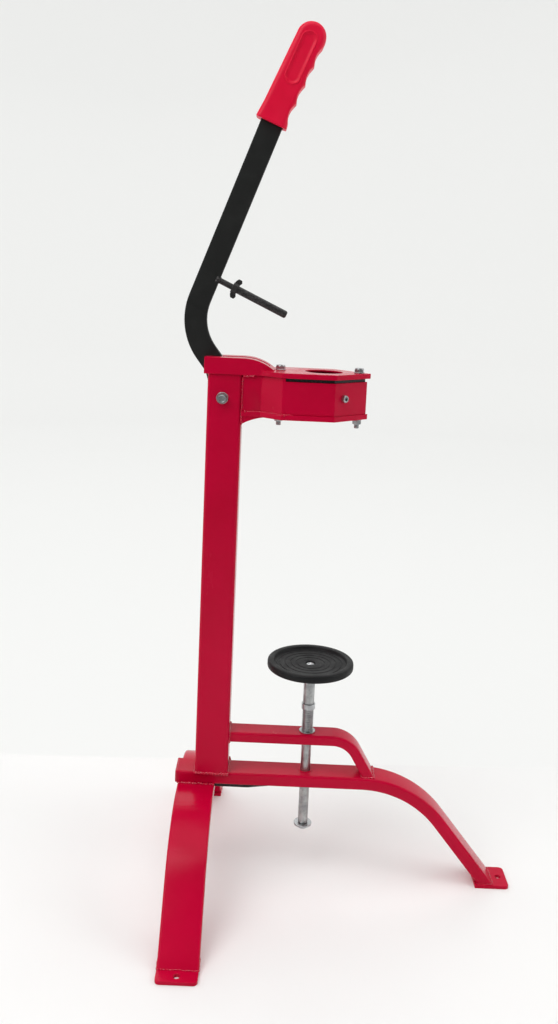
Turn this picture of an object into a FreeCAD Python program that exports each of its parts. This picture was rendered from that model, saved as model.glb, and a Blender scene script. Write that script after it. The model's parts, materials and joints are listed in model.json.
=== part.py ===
import FreeCAD, Part
import math
import os
import re
import Sketcher

# Floor corker, millimetres. +Z up, +X from the column towards the front foot, +Y away from the side
# that carries the jaw screw. The origin is on the floor, under the middle of the whole object.
# Every place along X below is counted from the bottle's axis, and axis_x moves the whole model.

Vector = FreeCAD.Vector

# Each row is a size's name, its value and what it measures.
SIZES = [
    ("axis_x", -46.1, "bottle axis from the origin"),
    ("column_reach", 114.5, "column middle behind the bottle axis"),
    ("column_side", 40, "column tube, outside"),
    ("column_wall", 2, "column tube wall"),
    ("column_corner", 4, "column tube outer corner"),
    ("beam_width", 35, "leg tube across"),
    ("beam_height", 15, "leg tube depth"),
    ("beam_top", 134.5, "top of the beam above the floor"),
    ("beam_back", 156, "rear end of the beam behind the bottle axis"),
    ("tube_wall", 1.8, "wall of the leg and bridge tubes"),
    ("tube_corner", 2.6, "outer corner of the leg and bridge tubes"),
    ("leg_slope", 51.3, "legs below the level, degrees"),
    ("leg_bend", 124, "bend of the legs, on the middle line"),
    ("front_corner", 128.3, "where the front leg's two straights would meet"),
    ("rear_corner", 94, "where a rear leg's two straights would meet"),
    ("rear_leg_reach", 132.5, "middle of the rear legs behind the bottle axis"),
    ("rear_leg_width", 45, "rear leg tube across"),
    ("foot_plate", 4, "foot plate thickness"),
    ("foot_corner", 5, "foot plate corner"),
    ("foot_margin", 3, "foot plate under the heel of its leg"),
    ("foot_hole", 3.5, "foot screw hole radius"),
    ("front_foot_width", 40, "front foot plate across"),
    ("front_toe", 19.6, "front foot plate beyond its leg"),
    ("rear_toe", 18, "rear foot plates beyond their legs"),
    ("bridge_width", 28, "bridge tube across"),
    ("bridge_height", 12.5, "bridge tube depth"),
    ("bridge_top", 184.8, "top of the bridge above the floor"),
    ("bridge_slope", 60, "front of the bridge below the level, degrees"),
    ("bridge_bend", 33.7, "bend of the bridge, on the middle line"),
    ("bridge_corner", 50.6, "where the bridge's two straights would meet"),
    ("end_plate", 2, "plate that closes the beam's rear end"),
    ("stiffener_depth", 6, "stiffener under the beam, deep end"),
    ("stiffener_width", 22, "stiffener across"),
    ("stiffener_end", 31, "thin end of the stiffener behind the bottle axis"),
    ("stiffener_knee", 70, "where the stiffener starts to taper"),
    ("rod_radius", 6, "platform rod radius"),
    ("rod_bottom", 66, "lower end of the platform rod"),
    ("sliding_gap", 0.08, "radial running clearance of rods and pins"),
    ("bush_radius", 8.5, "guide bush outside radius"),
    ("bush_flange", 9.8, "guide bush flange radius"),
    ("bush_flange_thick", 1.5, "guide bush flange thickness"),
    ("platform_top", 275.5, "rim of the bottle platform above the floor"),
    ("platform_radius", 52, "bottle platform radius"),
    ("platform_thick", 9, "bottle platform thickness"),
    ("platform_edge", 1.8, "chamfer of the platform's rim"),
    ("recess_radius", 43.5, "platform recess for the bottle's base"),
    ("recess_depth", 4, "depth of the platform recess"),
    ("screw_head", 5.7, "platform screw head radius"),
    ("screw_head_high", 1.8, "platform screw head height"),
    ("screw_sink", 2.4, "depth of the recess for the platform screw's head"),
    ("hub_radius", 13, "boss under the platform, radius"),
    ("hub_height", 7, "boss under the platform, height"),
    ("rod_seat", 6, "rod into the platform's boss"),
    ("sleeve_radius", 6.8, "spacer tube above the collar, radius"),
    ("collar_radius", 8.2, "spring collar radius"),
    ("collar_height", 7, "spring collar height"),
    ("collar_top", 221, "top of the spring collar above the floor"),
    ("spring_wire", 0.8, "platform spring wire"),
    ("spring_slack", 0.15, "platform spring from the rod, and from its seats"),
    ("end_washer_radius", 11, "washer under the rod, radius"),
    ("end_washer_thick", 2.5, "washer under the rod, thickness"),
    ("pivot_back", 2.5, "lever pivot behind the column's middle"),
    ("pivot_rise", 14, "lever pivot above the underside of the housing's walls"),
    ("pivot_radius", 4, "pivot bolt radius"),
    ("lever_thick", 9, "lever bar thickness"),
    ("lever_width", 26, "lever bar width"),
    ("lever_corner", 1.2, "lever bar edge rounding"),
    ("lower_lean", 37.5, "lower part of the lever leans back, degrees"),
    ("lever_bend", 58.1, "bend of the lever, degrees"),
    ("lever_bend_radius", 65, "bend of the lever, on the middle line"),
    ("lower_length", 17.2, "straight part of the lever below its bend"),
    ("upper_length", 211, "straight part of the lever from its bend to the grip"),
    ("root_rise", 35.4, "lever bar's lower end from the pivot, along the bar"),
    ("root_offset", 13.4, "lever bar's lower end from the pivot, across the bar"),
    ("lever_swing", 65, "lever travel, degrees"),
    ("hub_boss", 12.5, "round boss of the cam, radius"),
    ("cam_rest", 17, "cam reach in front of the pivot at rest"),
    ("grip_length", 120.5, "hand grip length"),
    ("grip_tilt", 2, "hand grip forward of the lever bar, degrees"),
    ("grip_thick", 24, "hand grip thickness"),
    ("grip_half", 16.2, "hand grip in front of its middle"),
    ("grip_rear", 18.3, "hand grip behind its middle"),
    ("grip_lean", 2.2, "how far the grip's sides lean forward towards its end"),
    ("grip_mouth", 1.6, "mouth of the grip wider than the grip, each side"),
    ("grip_round", 6, "rounding of the grip's long edges"),
    ("grip_depth", 97, "lever bar inside the grip"),
    ("grip_gap", 0.2, "grip around the lever bar"),
    ("finger_pitch", 22.3, "pitch of the finger hollows"),
    ("finger_first", 19, "first finger hollow from the grip's mouth"),
    ("finger_radius", 22, "radius of a finger hollow"),
    ("finger_depth", 3, "depth of a finger hollow"),
    ("thumb_half", 7.2, "thumb recess half width"),
    ("thumb_low", 55, "lower end of the thumb recess"),
    ("thumb_high", 98, "upper end of the thumb recess"),
    ("thumb_deep", 1.2, "depth of the thumb recess"),
    ("stud_radius", 3.4, "plunger stud radius"),
    ("tip_drop", 22, "plunger tip below the pivot when the lever is down"),
    ("tip_chamfer", 1.4, "chamfer of the plunger's tip"),
    ("plunger_radius", 4.4, "plunger rod radius"),
    ("plunger_length", 63, "plunger rod length"),
    ("plunger_thread", 24, "depth of the threaded hole in the plunger rod"),
    ("wing_thick", 7, "wing nut body height"),
    ("wing_radius", 6.3, "wing nut body radius"),
    ("wing_span", 11.5, "wing nut, axis to wing tip"),
    ("wing_wide", 3, "wing nut wing thickness"),
    ("wing_lean", 1.5, "wings lean towards the plunger's tip"),
    ("head_half", 39, "jaw housing half width"),
    ("head_wall", 4, "jaw housing wall"),
    ("neck_end", 72.5, "end of the straight neck behind the bottle axis"),
    ("flare_end", 48.2, "end of the flare behind the bottle axis"),
    ("nose_reach", 50, "nose of the jaw housing in front of the bottle axis"),
    ("box_bottom", 578, "underside of the jaw housing's walls"),
    ("box_height", 37.8, "jaw housing wall height"),
    ("bottom_thick", 6, "housing bottom plate thickness"),
    ("bottom_lip", 1.3, "bottom plate beyond the walls"),
    ("mouth_radius", 16, "hole for the bottle's mouth"),
    ("gusset_start", 60, "front of the curved gusset behind the bottle axis"),
    ("gusset_radius", 67, "curve under the gusset"),
    ("guide_thick", 3.8, "cork guide plate thickness"),
    ("guide_inset", 1.8, "guide plate inside the walls' outline"),
    ("guide_back", 66, "rear edge of the guide plate behind the bottle axis"),
    ("rim_end", 45, "front of the walls' raised rim behind the bottle axis"),
    ("rim_gap", 0.1, "raised rim below the cover"),
    ("guide_gap", 0.3, "guide plate from the raised rim"),
    ("cork_radius", 15.2, "hole in the guide plate"),
    ("cork_offset", 8, "guide plate's hole behind the bottle axis"),
    ("cork_clear", 12.1, "radius of the open jaws' chamber"),
    ("cover_edge", 5.9, "height of the cover's folded edge"),
    ("cover_sheet", 2, "cover sheet thickness"),
    ("cover_lip", 2.6, "cover beyond the walls"),
    ("cover_hole", 22, "hole in the cover"),
    ("cover_offset", 1, "cover's hole behind the bottle axis"),
    ("hood_rise", 60.7, "top of the hood above the underside of the housing's walls"),
    ("hood_back", 4.4, "hood behind the column"),
    ("hood_flat_end", 94, "front of the hood's flat top behind the bottle axis"),
    ("hood_curve", 56, "curve of the hood's ramp"),
    ("slot_half", 6, "lever slot half width"),
    ("slot_end", 64, "front of the lever slot behind the bottle axis"),
    ("back_slot_rise", 2.5, "rear column slot starts above the pivot"),
    ("front_slot_drop", 14, "front column window starts below the pivot"),
    ("window_half", 8.6, "front column window half width"),
    ("jaw_gap", 0.15, "gap between sliding jaw faces"),
    ("jaw_travel", 15, "travel of one jaw"),
    ("bore_radius", 8.2, "closed bore of the jaws"),
    ("jaw_side", 25.2, "flat side of the side jaws from the bottle axis"),
    ("jaw_nose", 36.5, "flat nose of the front jaw from the bottle axis"),
    ("nest_gap", 0.4, "pusher inside the housing's flare at rest"),
    ("pusher_arm", 25.5, "pusher arms to each side"),
    ("pusher_back", 14, "back of the pusher behind its notch"),
    ("stem_half", 8, "stem half width"),
    ("stem_low", 5, "stem below the pivot"),
    ("stem_high", 14, "stem above the pivot"),
    ("heel_length", 6, "heel on the stem that the cam pushes"),
    ("heel_over", 0.3, "heel above the cam's line of contact"),
    ("contact_gap", 0.2, "cam to stem at rest"),
    ("bolt_slot", 3.6, "slot in the pusher, half width"),
    ("bolt_slot_length", 11.3, "slot in the pusher behind its notch"),
    ("seat_reach", 7.5, "return spring's seat behind the bottle axis"),
    ("seat_thick", 2.5, "spring seat thickness"),
    ("seat_inner", 28, "spring seat, inner side"),
    ("return_spring_radius", 2.7, "return spring radius"),
    ("return_spring_y", 31.2, "return spring from the middle"),
    ("return_spring_wire", 0.9, "return spring wire"),
    ("jaw_screw_radius", 2, "jaw screw radius"),
    ("jaw_screw_side", 4.6, "jaw screw to the side of the housing's middle line"),
    ("jaw_screw_height", 20, "jaw screw above the housing's bottom"),
    ("jaw_screw_head", 4.2, "jaw screw head radius"),
    ("jaw_screw_head_high", 4, "jaw screw head height"),
    ("jaw_screw_length", 14, "jaw screw shank"),
    ("jaw_screw_socket", 2, "jaw screw socket, across its flats by two"),
    ("rear_bolt", 51.5, "rear housing bolt behind the bottle axis"),
    ("nose_bolt", 39.9, "front housing bolt in front of the bottle axis"),
    ("bolt_radius", 3, "housing bolt radius"),
    ("bolt_gap", 0.2, "holes around bolts"),
    ("bolt_head", 4.6, "housing bolt head height"),
    ("bolt_flats", 5, "housing bolt head, axis to flat"),
    ("nut_high", 5, "housing nut height"),
    ("bolt_tail", 5, "housing bolts beyond their nuts"),
    ("washer_radius", 6, "housing washer radius"),
    ("washer_thick", 1.2, "housing washer thickness"),
    ("pivot_flats", 6.5, "pivot bolt head, axis to flat"),
    ("pivot_head", 5.3, "pivot bolt head height"),
    ("pivot_washer", 7.6, "pivot washer radius"),
    ("pivot_washer_thick", 1.4, "pivot washer thickness"),
    ("pivot_nut", 6.5, "pivot nut height"),
    ("spacer_radius", 7, "pivot spacer radius"),
]

# Sizes that follow from the ones above.
FOLLOWING = [
    ("pivot_reach", "=column_reach + pivot_back", "lever pivot behind the bottle axis"),
    ("pivot_height", "=box_bottom + pivot_rise", "lever pivot above the floor"),
    ("hood_top", "=box_bottom + hood_rise", "top of the hood above the floor"),
]

doc = FreeCAD.newDocument("floor_corker")
sheet = doc.addObject("Spreadsheet::Sheet", "Sizes")
for row, (name, value, meaning) in enumerate(SIZES + FOLLOWING, start=1):
    sheet.set("A%d" % row, name)
    sheet.set("B%d" % row, str(value))
    sheet.setAlias("B%d" % row, name)
    sheet.set("C%d" % row, meaning)
doc.recompute()
NAMES = {name for name, value, meaning in SIZES + FOLLOWING}
parts = []


def bound(text):
    """An expression with every size's name pointed at the sheet."""
    def aim(found):
        return "Sizes." + found.group(0) if found.group(0) in NAMES else found.group(0)

    return re.sub(r"[a-z][a-z_]*", aim, text)


def number(text):
    """The value of an expression in the sizes."""
    return float(sheet.evalExpression(bound(text)))


def new_body(label, x="axis_x", z="0", turn="0", turn_axis=(0, 1, 0)):
    """An empty body that is placed from the sizes and written out under its label."""
    body = doc.addObject("PartDesign::Body", label)
    body.Label = label
    body.Placement = FreeCAD.Placement(Vector(0, 0, 0), FreeCAD.Rotation(Vector(*turn_axis), 1))
    body.setExpression("Placement.Base.x", bound(x))
    body.setExpression("Placement.Base.z", bound(z))
    body.setExpression("Placement.Rotation.Angle", bound(turn))
    parts.append(body)
    return body


def new_sketch(body, plane, offset="0"):
    """A sketch on one of the body's own base planes, moved along the plane's normal."""
    sketch = body.newObject("Sketcher::SketchObject", body.Name + "_sketch")
    base = [feature for feature in body.Origin.OriginFeatures if feature.Role == plane + "_Plane"]
    sketch.AttachmentSupport = (base[0], [""])
    sketch.MapMode = "FlatFace"
    sketch.setExpression("AttachmentOffset.Base.z", bound(offset))
    return sketch


def fix_point(sketch, edge, end, x, y):
    """Holds an edge's end at a place given by two expressions."""
    for kind, text, axis in (("DistanceX", x, -2), ("DistanceY", y, -1)):
        if text == "0":
            sketch.addConstraint(Sketcher.Constraint("PointOnObject", edge, end, axis))
        else:
            index = sketch.addConstraint(Sketcher.Constraint(kind, -1, 1, edge, end, number(text)))
            sketch.setExpression("Constraints[%d]" % index, bound(text))


def draw(sketch, corners, closed=True):
    """Lines and arcs from corner to corner. A corner is (x, y), or (x, y, radius, turn) where an arc
    arrives: turn is 1 for an arc that turns left and -1 for one that turns right."""
    places = [(number(corner[0]), number(corner[1])) for corner in corners]
    first = 0 if closed else 1
    ends = []
    for i in range(first, len(corners)):
        (ax, ay), (bx, by) = places[i - 1], places[i]
        if len(corners[i]) == 2:
            edge = sketch.addGeometry(Part.LineSegment(Vector(ax, ay, 0), Vector(bx, by, 0)), False)
            ends.append((edge, 1, 2))
            continue
        radius, turn = number(corners[i][2]), corners[i][3]
        chord = math.hypot(bx - ax, by - ay)
        rise = math.sqrt(max(radius ** 2 - chord ** 2 / 4, 0)) * turn / chord
        centre = Vector((ax + bx) / 2 - (by - ay) * rise, (ay + by) / 2 + (bx - ax) * rise, 0)
        start, stop = ((ax, ay), (bx, by)) if turn > 0 else ((bx, by), (ax, ay))
        low = math.atan2(start[1] - centre.y, start[0] - centre.x)
        high = math.atan2(stop[1] - centre.y, stop[0] - centre.x)
        high += 2 * math.pi if high < low else 0
        circle = Part.Circle(centre, Vector(0, 0, 1), radius)
        edge = sketch.addGeometry(Part.ArcOfCircle(circle, low, high), False)
        ends.append((edge, 1, 2) if turn > 0 else (edge, 2, 1))
        index = sketch.addConstraint(Sketcher.Constraint("Radius", edge, radius))
        sketch.setExpression("Constraints[%d]" % index, bound(corners[i][2]))
    for i, (edge, begin, end) in enumerate(ends):
        fix_point(sketch, edge, end, *corners[i + first][:2])
        if i + 1 < len(ends) or closed:
            following, its_begin, its_end = ends[(i + 1) % len(ends)]
            sketch.addConstraint(Sketcher.Constraint("Coincident", edge, end, following, its_begin))
    if not closed:
        fix_point(sketch, ends[0][0], ends[0][1], *corners[0][:2])


def draw_circle(sketch, x, y, radius):
    circle = Part.Circle(Vector(number(x), number(y), 0), Vector(0, 0, 1), number(radius))
    edge = sketch.addGeometry(circle, False)
    fix_point(sketch, edge, 3, x, y)
    index = sketch.addConstraint(Sketcher.Constraint("Radius", edge, number(radius)))
    sketch.setExpression("Constraints[%d]" % index, bound(radius))


def rounded(half_x, half_y, radius, y="0"):
    """Corners of a rectangle with rounded corners about (0, y)."""
    a, b, r = "(%s)" % half_x, "(%s)" % half_y, "(%s)" % radius
    low, high = "%s - %s" % (y, b), "%s + %s" % (y, b)
    return [
        ("%s - %s" % (a, r), low),
        (a, "%s + %s" % (low, r), r, 1),
        (a, "%s - %s" % (high, r)),
        ("%s - %s" % (a, r), high, r, 1),
        ("-%s + %s" % (a, r), high),
        ("-%s" % a, "%s - %s" % (high, r), r, 1),
        ("-%s" % a, "%s + %s" % (low, r)),
        ("-%s + %s" % (a, r), low, r, 1),
    ]


def box_corners(x0, x1, y0, y1):
    return [(x0, y0), (x1, y0), (x1, y1), (x0, y1)]


def pad(body, sketch, length, symmetric=False, back=False):
    feature = body.newObject("PartDesign::Pad", body.Name + "_pad")
    feature.Profile = sketch
    feature.SideType = "Symmetric" if symmetric else "One side"
    feature.Reversed = back
    feature.setExpression("Length", bound(length))
    return feature


def cut(body, sketch, length, symmetric=False, back=False):
    """A pocket. It has to take material away, which is tested by volume."""
    doc.recompute()
    before = body.Shape.Volume
    feature = body.newObject("PartDesign::Pocket", body.Name + "_pocket")
    feature.Profile = sketch
    feature.SideType = "Symmetric" if symmetric else "One side"
    feature.Reversed = back
    feature.setExpression("Length", bound(length))
    doc.recompute()
    if body.Shape.Volume > before - 1e-6:
        raise RuntimeError("%s: a pocket cuts nothing" % body.Label)
    return feature


def turn_solid(body, sketch, axis="V_Axis", groove=False):
    kind = "PartDesign::Groove" if groove else "PartDesign::Revolution"
    feature = body.newObject(kind, body.Name + "_turned")
    feature.Profile = sketch
    feature.ReferenceAxis = (sketch, [axis])
    feature.Angle = 360
    return feature


def sweep(body, section, path, hollow=False):
    kind = "PartDesign::SubtractivePipe" if hollow else "PartDesign::AdditivePipe"
    feature = body.newObject(kind, body.Name + "_sweep")
    feature.Profile = section
    feature.Spine = path
    return feature


def round_edges(body, radius, wanted):
    """Rounds the edges of the body that wanted() picks."""
    doc.recompute()
    tip = body.Tip
    names = ["Edge%d" % (i + 1) for i, edge in enumerate(tip.Shape.Edges) if wanted(edge)]
    feature = body.newObject("PartDesign::Fillet", body.Name + "_round")
    feature.Base = (tip, names)
    feature.setExpression("Radius", bound(radius))
    doc.recompute()
    return feature


def cylinder_part(label, radius, height, x="axis_x", z="0", bore=None):
    """A plain turned piece that stands at z, with a bore if one is named."""
    body = new_body(label, x, z)
    sketch = new_sketch(body, "XY")
    draw_circle(sketch, "0", "0", radius)
    if bore:
        draw_circle(sketch, "0", "0", bore)
    pad(body, sketch, height)
    return body


def hexagon(flat):
    """Corners of a hexagon from its middle-to-flat distance, with corners on the X axis."""
    reach = "(%s) / cos(30)" % flat
    corners = []
    for i in range(6):
        turn = math.radians(60 * i)
        across = "%s * %g" % (reach, math.sin(turn)) if i % 3 else "0"
        corners.append(("%s * %g" % (reach, math.cos(turn)), across))
    return corners


# Stand: column, legs, bridge and feet

COLUMN_FRONT = "(-column_reach + column_side / 2)"
COVER_BOTTOM = "(box_bottom + box_height + guide_thick)"
COVER_TOP = "(%s + cover_edge)" % COVER_BOTTOM
PUSHER_TRAVEL = "(jaw_travel * sqrt(2))"
BEAM_MIDDLE = "(beam_top - beam_height / 2)"
REAR_MIDDLE = "(beam_top - beam_height * 1.5)"
BRIDGE_MIDDLE = "(bridge_top - bridge_height / 2)"


def make_column():
    """Square tube, slotted at the top for the lever and the pusher, drilled for the pivot bolt."""
    body = new_body("column", "axis_x - column_reach", "beam_top")
    height = "hood_top - cover_sheet - beam_top"
    section = new_sketch(body, "XY")
    draw(section, rounded("column_side / 2", "column_side / 2", "column_corner"))
    pad(body, section, height)
    inside = new_sketch(body, "XY")
    half = "column_side / 2 - column_wall"
    draw(inside, rounded(half, half, "column_corner - column_wall"))
    cut(body, inside, height, back=True)
    for x0, x1, low, half_width in (
        ("-column_side", "0", "pivot_height + back_slot_rise", "slot_half"),
        ("0", "column_side", "pivot_height - front_slot_drop", "window_half"),
    ):
        slot = new_sketch(body, "XZ")
        draw(slot, box_corners(x0, x1, "%s - beam_top" % low, "hood_top - beam_top"))
        cut(body, slot, "2 * " + half_width, symmetric=True)
    hole = new_sketch(body, "XZ")
    draw_circle(hole, "column_reach - pivot_reach", "pivot_height - beam_top", "pivot_radius + sliding_gap")
    cut(body, hole, "2 * column_side", symmetric=True)


def leg_path(start, corner, level, slope, bend, low="-20"):
    """Middle line of a bent leg: level from start, round the bend, then down to the height low."""
    back = "%s * tan(%s / 2)" % (bend, slope)
    return [
        (start, level),
        ("%s - %s" % (corner, back), level),
        ("%s + %s * cos(%s)" % (corner, back, slope), "%s - %s * sin(%s)" % (level, back, slope), bend, -1),
        ("%s + (%s - (%s)) / tan(%s)" % (corner, level, low, slope), low),
    ]


def bent_tube(body, start, path, width, height, level, path_plane, section_plane, section_offset):
    """Hollow rectangular tube along a path, both ways round its corners."""
    outer = new_sketch(body, section_plane, section_offset)
    inner = new_sketch(body, section_plane, section_offset)
    route = new_sketch(body, path_plane)
    draw(route, path, closed=False)
    draw(outer, rounded(width + " / 2", height + " / 2", "tube_corner", level))
    across, depth = "%s / 2 - tube_wall" % width, "%s / 2 - tube_wall" % height
    low, high = "%s - (%s)" % (level, depth), "%s + %s" % (level, depth)
    draw(inner, box_corners("-(%s)" % across, across, low, high))
    return sweep(body, outer, route), sweep(body, inner, route, hollow=True)


def trim_below(body, plane, level, reach="600"):
    """Cuts a tube off level at a height."""
    sketch = new_sketch(body, plane)
    draw(sketch, box_corners("-" + reach, reach, "-100", level))
    cut(body, sketch, "200", symmetric=True)


def make_front_leg():
    """Beam under the column that bends down to the front foot, with a hole for the platform rod's bush."""
    body = new_body("front_leg")
    path = leg_path("-beam_back", "front_corner", BEAM_MIDDLE, "leg_slope", "leg_bend")
    bent_tube(body, "-beam_back", path, "beam_width", "beam_height", BEAM_MIDDLE, "XZ", "YZ", "-beam_back")
    trim_below(body, "XZ", "foot_plate")
    hole = new_sketch(body, "XY", "beam_top + 1")
    draw_circle(hole, "0", "0", "bush_radius")
    cut(body, hole, "beam_height + 2")


def make_rear_legs():
    """One bent tube under the beam that comes down to a foot on each side."""
    body = new_body("rear_legs", "axis_x - rear_leg_reach")
    path = leg_path("0", "rear_corner", REAR_MIDDLE, "leg_slope", "leg_bend")
    pair = bent_tube(body, "0", path, "rear_leg_width", "beam_height", REAR_MIDDLE, "YZ", "XZ", "0")
    mirror = body.newObject("PartDesign::Mirrored", "rear_legs_mirror")
    mirror.Originals = list(pair)
    base = [feature for feature in body.Origin.OriginFeatures if feature.Role == "XZ_Plane"]
    mirror.MirrorPlane = (base[0], [""])
    body.Tip = mirror
    trim_below(body, "YZ", "foot_plate")


def make_bridge():
    """Small tube from the column, over the beam and down onto it. It holds the upper guide bush."""
    body = new_body("bridge_bar")
    start, level = COLUMN_FRONT, BRIDGE_MIDDLE
    path = leg_path(start, "bridge_corner", level, "bridge_slope", "bridge_bend", "beam_top - 20")
    bent_tube(body, start, path, "bridge_width", "bridge_height", level, "XZ", "YZ", start)
    trim_below(body, "XZ", "beam_top")
    hole = new_sketch(body, "XY", "bridge_top + 1")
    draw_circle(hole, "0", "0", "bush_radius")
    cut(body, hole, "bridge_height + 2")


def leg_end(corner, level, side):
    """Where the lower or upper face of a sloping leg meets the top of its foot plate."""
    skin = "%s beam_height / 2 / sin(leg_slope)" % side
    return "%s + (%s - foot_plate) / tan(leg_slope) %s" % (corner, level, skin)


def make_foot(label, x, toe, width, corner, level, turn):
    """Foot plate with rounded toe corners and one screw hole. It reaches out along its own X."""
    body = new_body(label, x, "0", turn, (0, 0, 1))
    heel = "(%s - foot_margin)" % leg_end(corner, level, "-")
    tip = "(%s + %s)" % (leg_end(corner, level, "+"), toe)
    half = "(%s / 2)" % width
    sketch = new_sketch(body, "XY")
    draw(sketch, [
        (heel, "-" + half),
        ("%s - foot_corner" % tip, "-" + half),
        (tip, "-%s + foot_corner" % half, "foot_corner", 1),
        (tip, "%s - foot_corner" % half),
        ("%s - foot_corner" % tip, half, "foot_corner", 1),
        (heel, half),
    ])
    draw_circle(sketch, "%s - %s / 2" % (tip, toe), "0", "foot_hole")
    pad(body, sketch, "foot_plate")


def make_small_stand_pieces():
    """Closing plate at the beam's rear end, and the tapered stiffener under the beam."""
    body = new_body("beam_end_plate", "axis_x - beam_back")
    sketch = new_sketch(body, "YZ")
    draw(sketch, rounded("beam_width / 2", "beam_height / 2", "tube_corner", BEAM_MIDDLE))
    pad(body, sketch, "end_plate", back=True)
    body = new_body("beam_stiffener")
    under = "(beam_top - beam_height)"
    rear = "(-rear_leg_reach + rear_leg_width / 2)"
    sketch = new_sketch(body, "XZ")
    draw(sketch, [
        (rear, under),
        (rear, under + " - stiffener_depth"),
        ("-stiffener_knee", under + " - stiffener_depth"),
        ("-stiffener_end", under + " - 1"),
        ("-stiffener_end", under),
    ])
    pad(body, sketch, "stiffener_width", symmetric=True)


# Bottle platform, its rod and spring

HUB_BOTTOM = "(platform_top - platform_thick - hub_height)"
ROD_TOP = "(%s + rod_seat)" % HUB_BOTTOM
COLLAR_BOTTOM = "(collar_top - collar_height)"
SPRING_BOTTOM = "(bridge_top + bush_flange_thick)"


def make_platform():
    """Round dish with a raised rim, and a boss underneath that takes the rod."""
    body = new_body("platform")
    low = "(platform_top - platform_thick)"
    floor = "(platform_top - recess_depth)"
    sketch = new_sketch(body, "XZ")
    draw(sketch, [
        ("0", ROD_TOP),
        ("rod_radius", ROD_TOP),
        ("rod_radius", HUB_BOTTOM),
        ("hub_radius", HUB_BOTTOM),
        ("hub_radius", low),
        ("platform_radius - platform_edge", low),
        ("platform_radius", low + " + platform_edge"),
        ("platform_radius", "platform_top - platform_edge"),
        ("platform_radius - platform_edge", "platform_top"),
        ("recess_radius + 1", "platform_top"),
        ("recess_radius", floor),
        ("screw_head + bolt_gap", floor),
        ("screw_head + bolt_gap", floor + " - screw_sink"),
        ("0", floor + " - screw_sink"),
    ])
    turn_solid(body, sketch)


def make_platform_rod():
    """Rod with a chamfered lower end, spacer tube, spring collar, and the washer and screw below."""
    body = new_body("platform_rod")
    sketch = new_sketch(body, "XZ")
    draw(sketch, [
        ("0", "rod_bottom"),
        ("rod_radius - 1", "rod_bottom"),
        ("rod_radius", "rod_bottom + 1"),
        ("rod_radius", ROD_TOP),
        ("0", ROD_TOP),
    ])
    turn_solid(body, sketch)
    sleeve_height = "%s - collar_top" % HUB_BOTTOM
    cylinder_part("rod_sleeve", "sleeve_radius", sleeve_height, z="collar_top", bore="rod_radius")
    cylinder_part("spring_collar", "collar_radius", "collar_height", z=COLLAR_BOTTOM, bore="rod_radius")
    washer_z = "rod_bottom - end_washer_thick"
    cylinder_part("end_washer", "end_washer_radius", "end_washer_thick", z=washer_z)
    screw = new_body("end_screw", z="rod_bottom - end_washer_thick")
    sketch = new_sketch(screw, "XY")
    draw(sketch, hexagon("bolt_flats"))
    pad(screw, sketch, "bolt_head", back=True)


def make_guide_bushes():
    """Flanged bush through the bridge and plain bush through the beam. The rod slides in both."""
    for label, low, high, flange in (
        ("upper_bush", "(bridge_top - bridge_height)", "bridge_top", True),
        ("lower_bush", "(beam_top - beam_height - 1)", "(beam_top + 0.6)", False),
    ):
        body = new_body(label)
        bore = "rod_radius + sliding_gap"
        sketch = new_sketch(body, "XZ")
        outline = [(bore, low), ("bush_radius", low), ("bush_radius", high)]
        if flange:
            top = high + " + bush_flange_thick"
            outline += [("bush_flange", high), ("bush_flange", top), (bore, top)]
        else:
            outline += [(bore, high)]
        draw(sketch, outline)
        turn_solid(body, sketch)


def make_platform_spring():
    """Spring between the upper bush and the collar: the closed outside of its coil."""
    length = "%s - %s - 2 * spring_slack" % (COLLAR_BOTTOM, SPRING_BOTTOM)
    bore = "rod_radius + spring_slack"
    start = SPRING_BOTTOM + " + spring_slack"
    cylinder_part("platform_spring", bore + " + spring_wire", length, z=start, bore=bore)


# Lever, cam, grip and plunger

ROOT_X = "(-pivot_reach - root_rise * sin(lower_lean) + root_offset * cos(lower_lean))"
ROOT_Z = "(pivot_height + root_rise * cos(lower_lean) + root_offset * sin(lower_lean))"
UPPER_LEAN = "(lever_bend - lower_lean)"


def bar_outline():
    """Side view of the flat bar from its lower end up: straight, bend, straight."""
    half = "lever_width / 2"
    inner, outer = "(lever_bend_radius - lever_width / 2)", "(lever_bend_radius + lever_width / 2)"
    length = "(upper_length + grip_depth)"
    inner_x = "(lever_bend_radius - %s * cos(lever_bend))" % inner
    inner_z = "(lower_length + %s * sin(lever_bend))" % inner
    outer_x = "(lever_bend_radius - %s * cos(lever_bend))" % outer
    outer_z = "(lower_length + %s * sin(lever_bend))" % outer
    return [
        ("-" + half, "0"),
        (half, "0"),
        (half, "lower_length"),
        (inner_x, inner_z, inner, -1),
        ("%s + %s * sin(lever_bend)" % (inner_x, length), "%s + %s * cos(lever_bend)" % (inner_z, length)),
        ("%s + %s * sin(lever_bend)" % (outer_x, length), "%s + %s * cos(lever_bend)" % (outer_z, length)),
        (outer_x, outer_z),
        ("-" + half, "lower_length", outer, 1),
    ]


def make_lever_bar():
    body = new_body("lever_bar", "axis_x + " + ROOT_X, ROOT_Z, "-lower_lean")
    sketch = new_sketch(body, "XZ")
    draw(sketch, bar_outline())
    pad(body, sketch, "lever_thick", symmetric=True)
    side = number("lever_thick / 2")
    round_edges(body, "lever_corner", lambda edge: abs(edge.BoundBox.YMin - edge.BoundBox.YMax) < 1e-6
                and abs(abs(edge.BoundBox.YMin) - side) < 1e-6 and edge.BoundBox.ZMax > 1)
    return body


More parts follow.
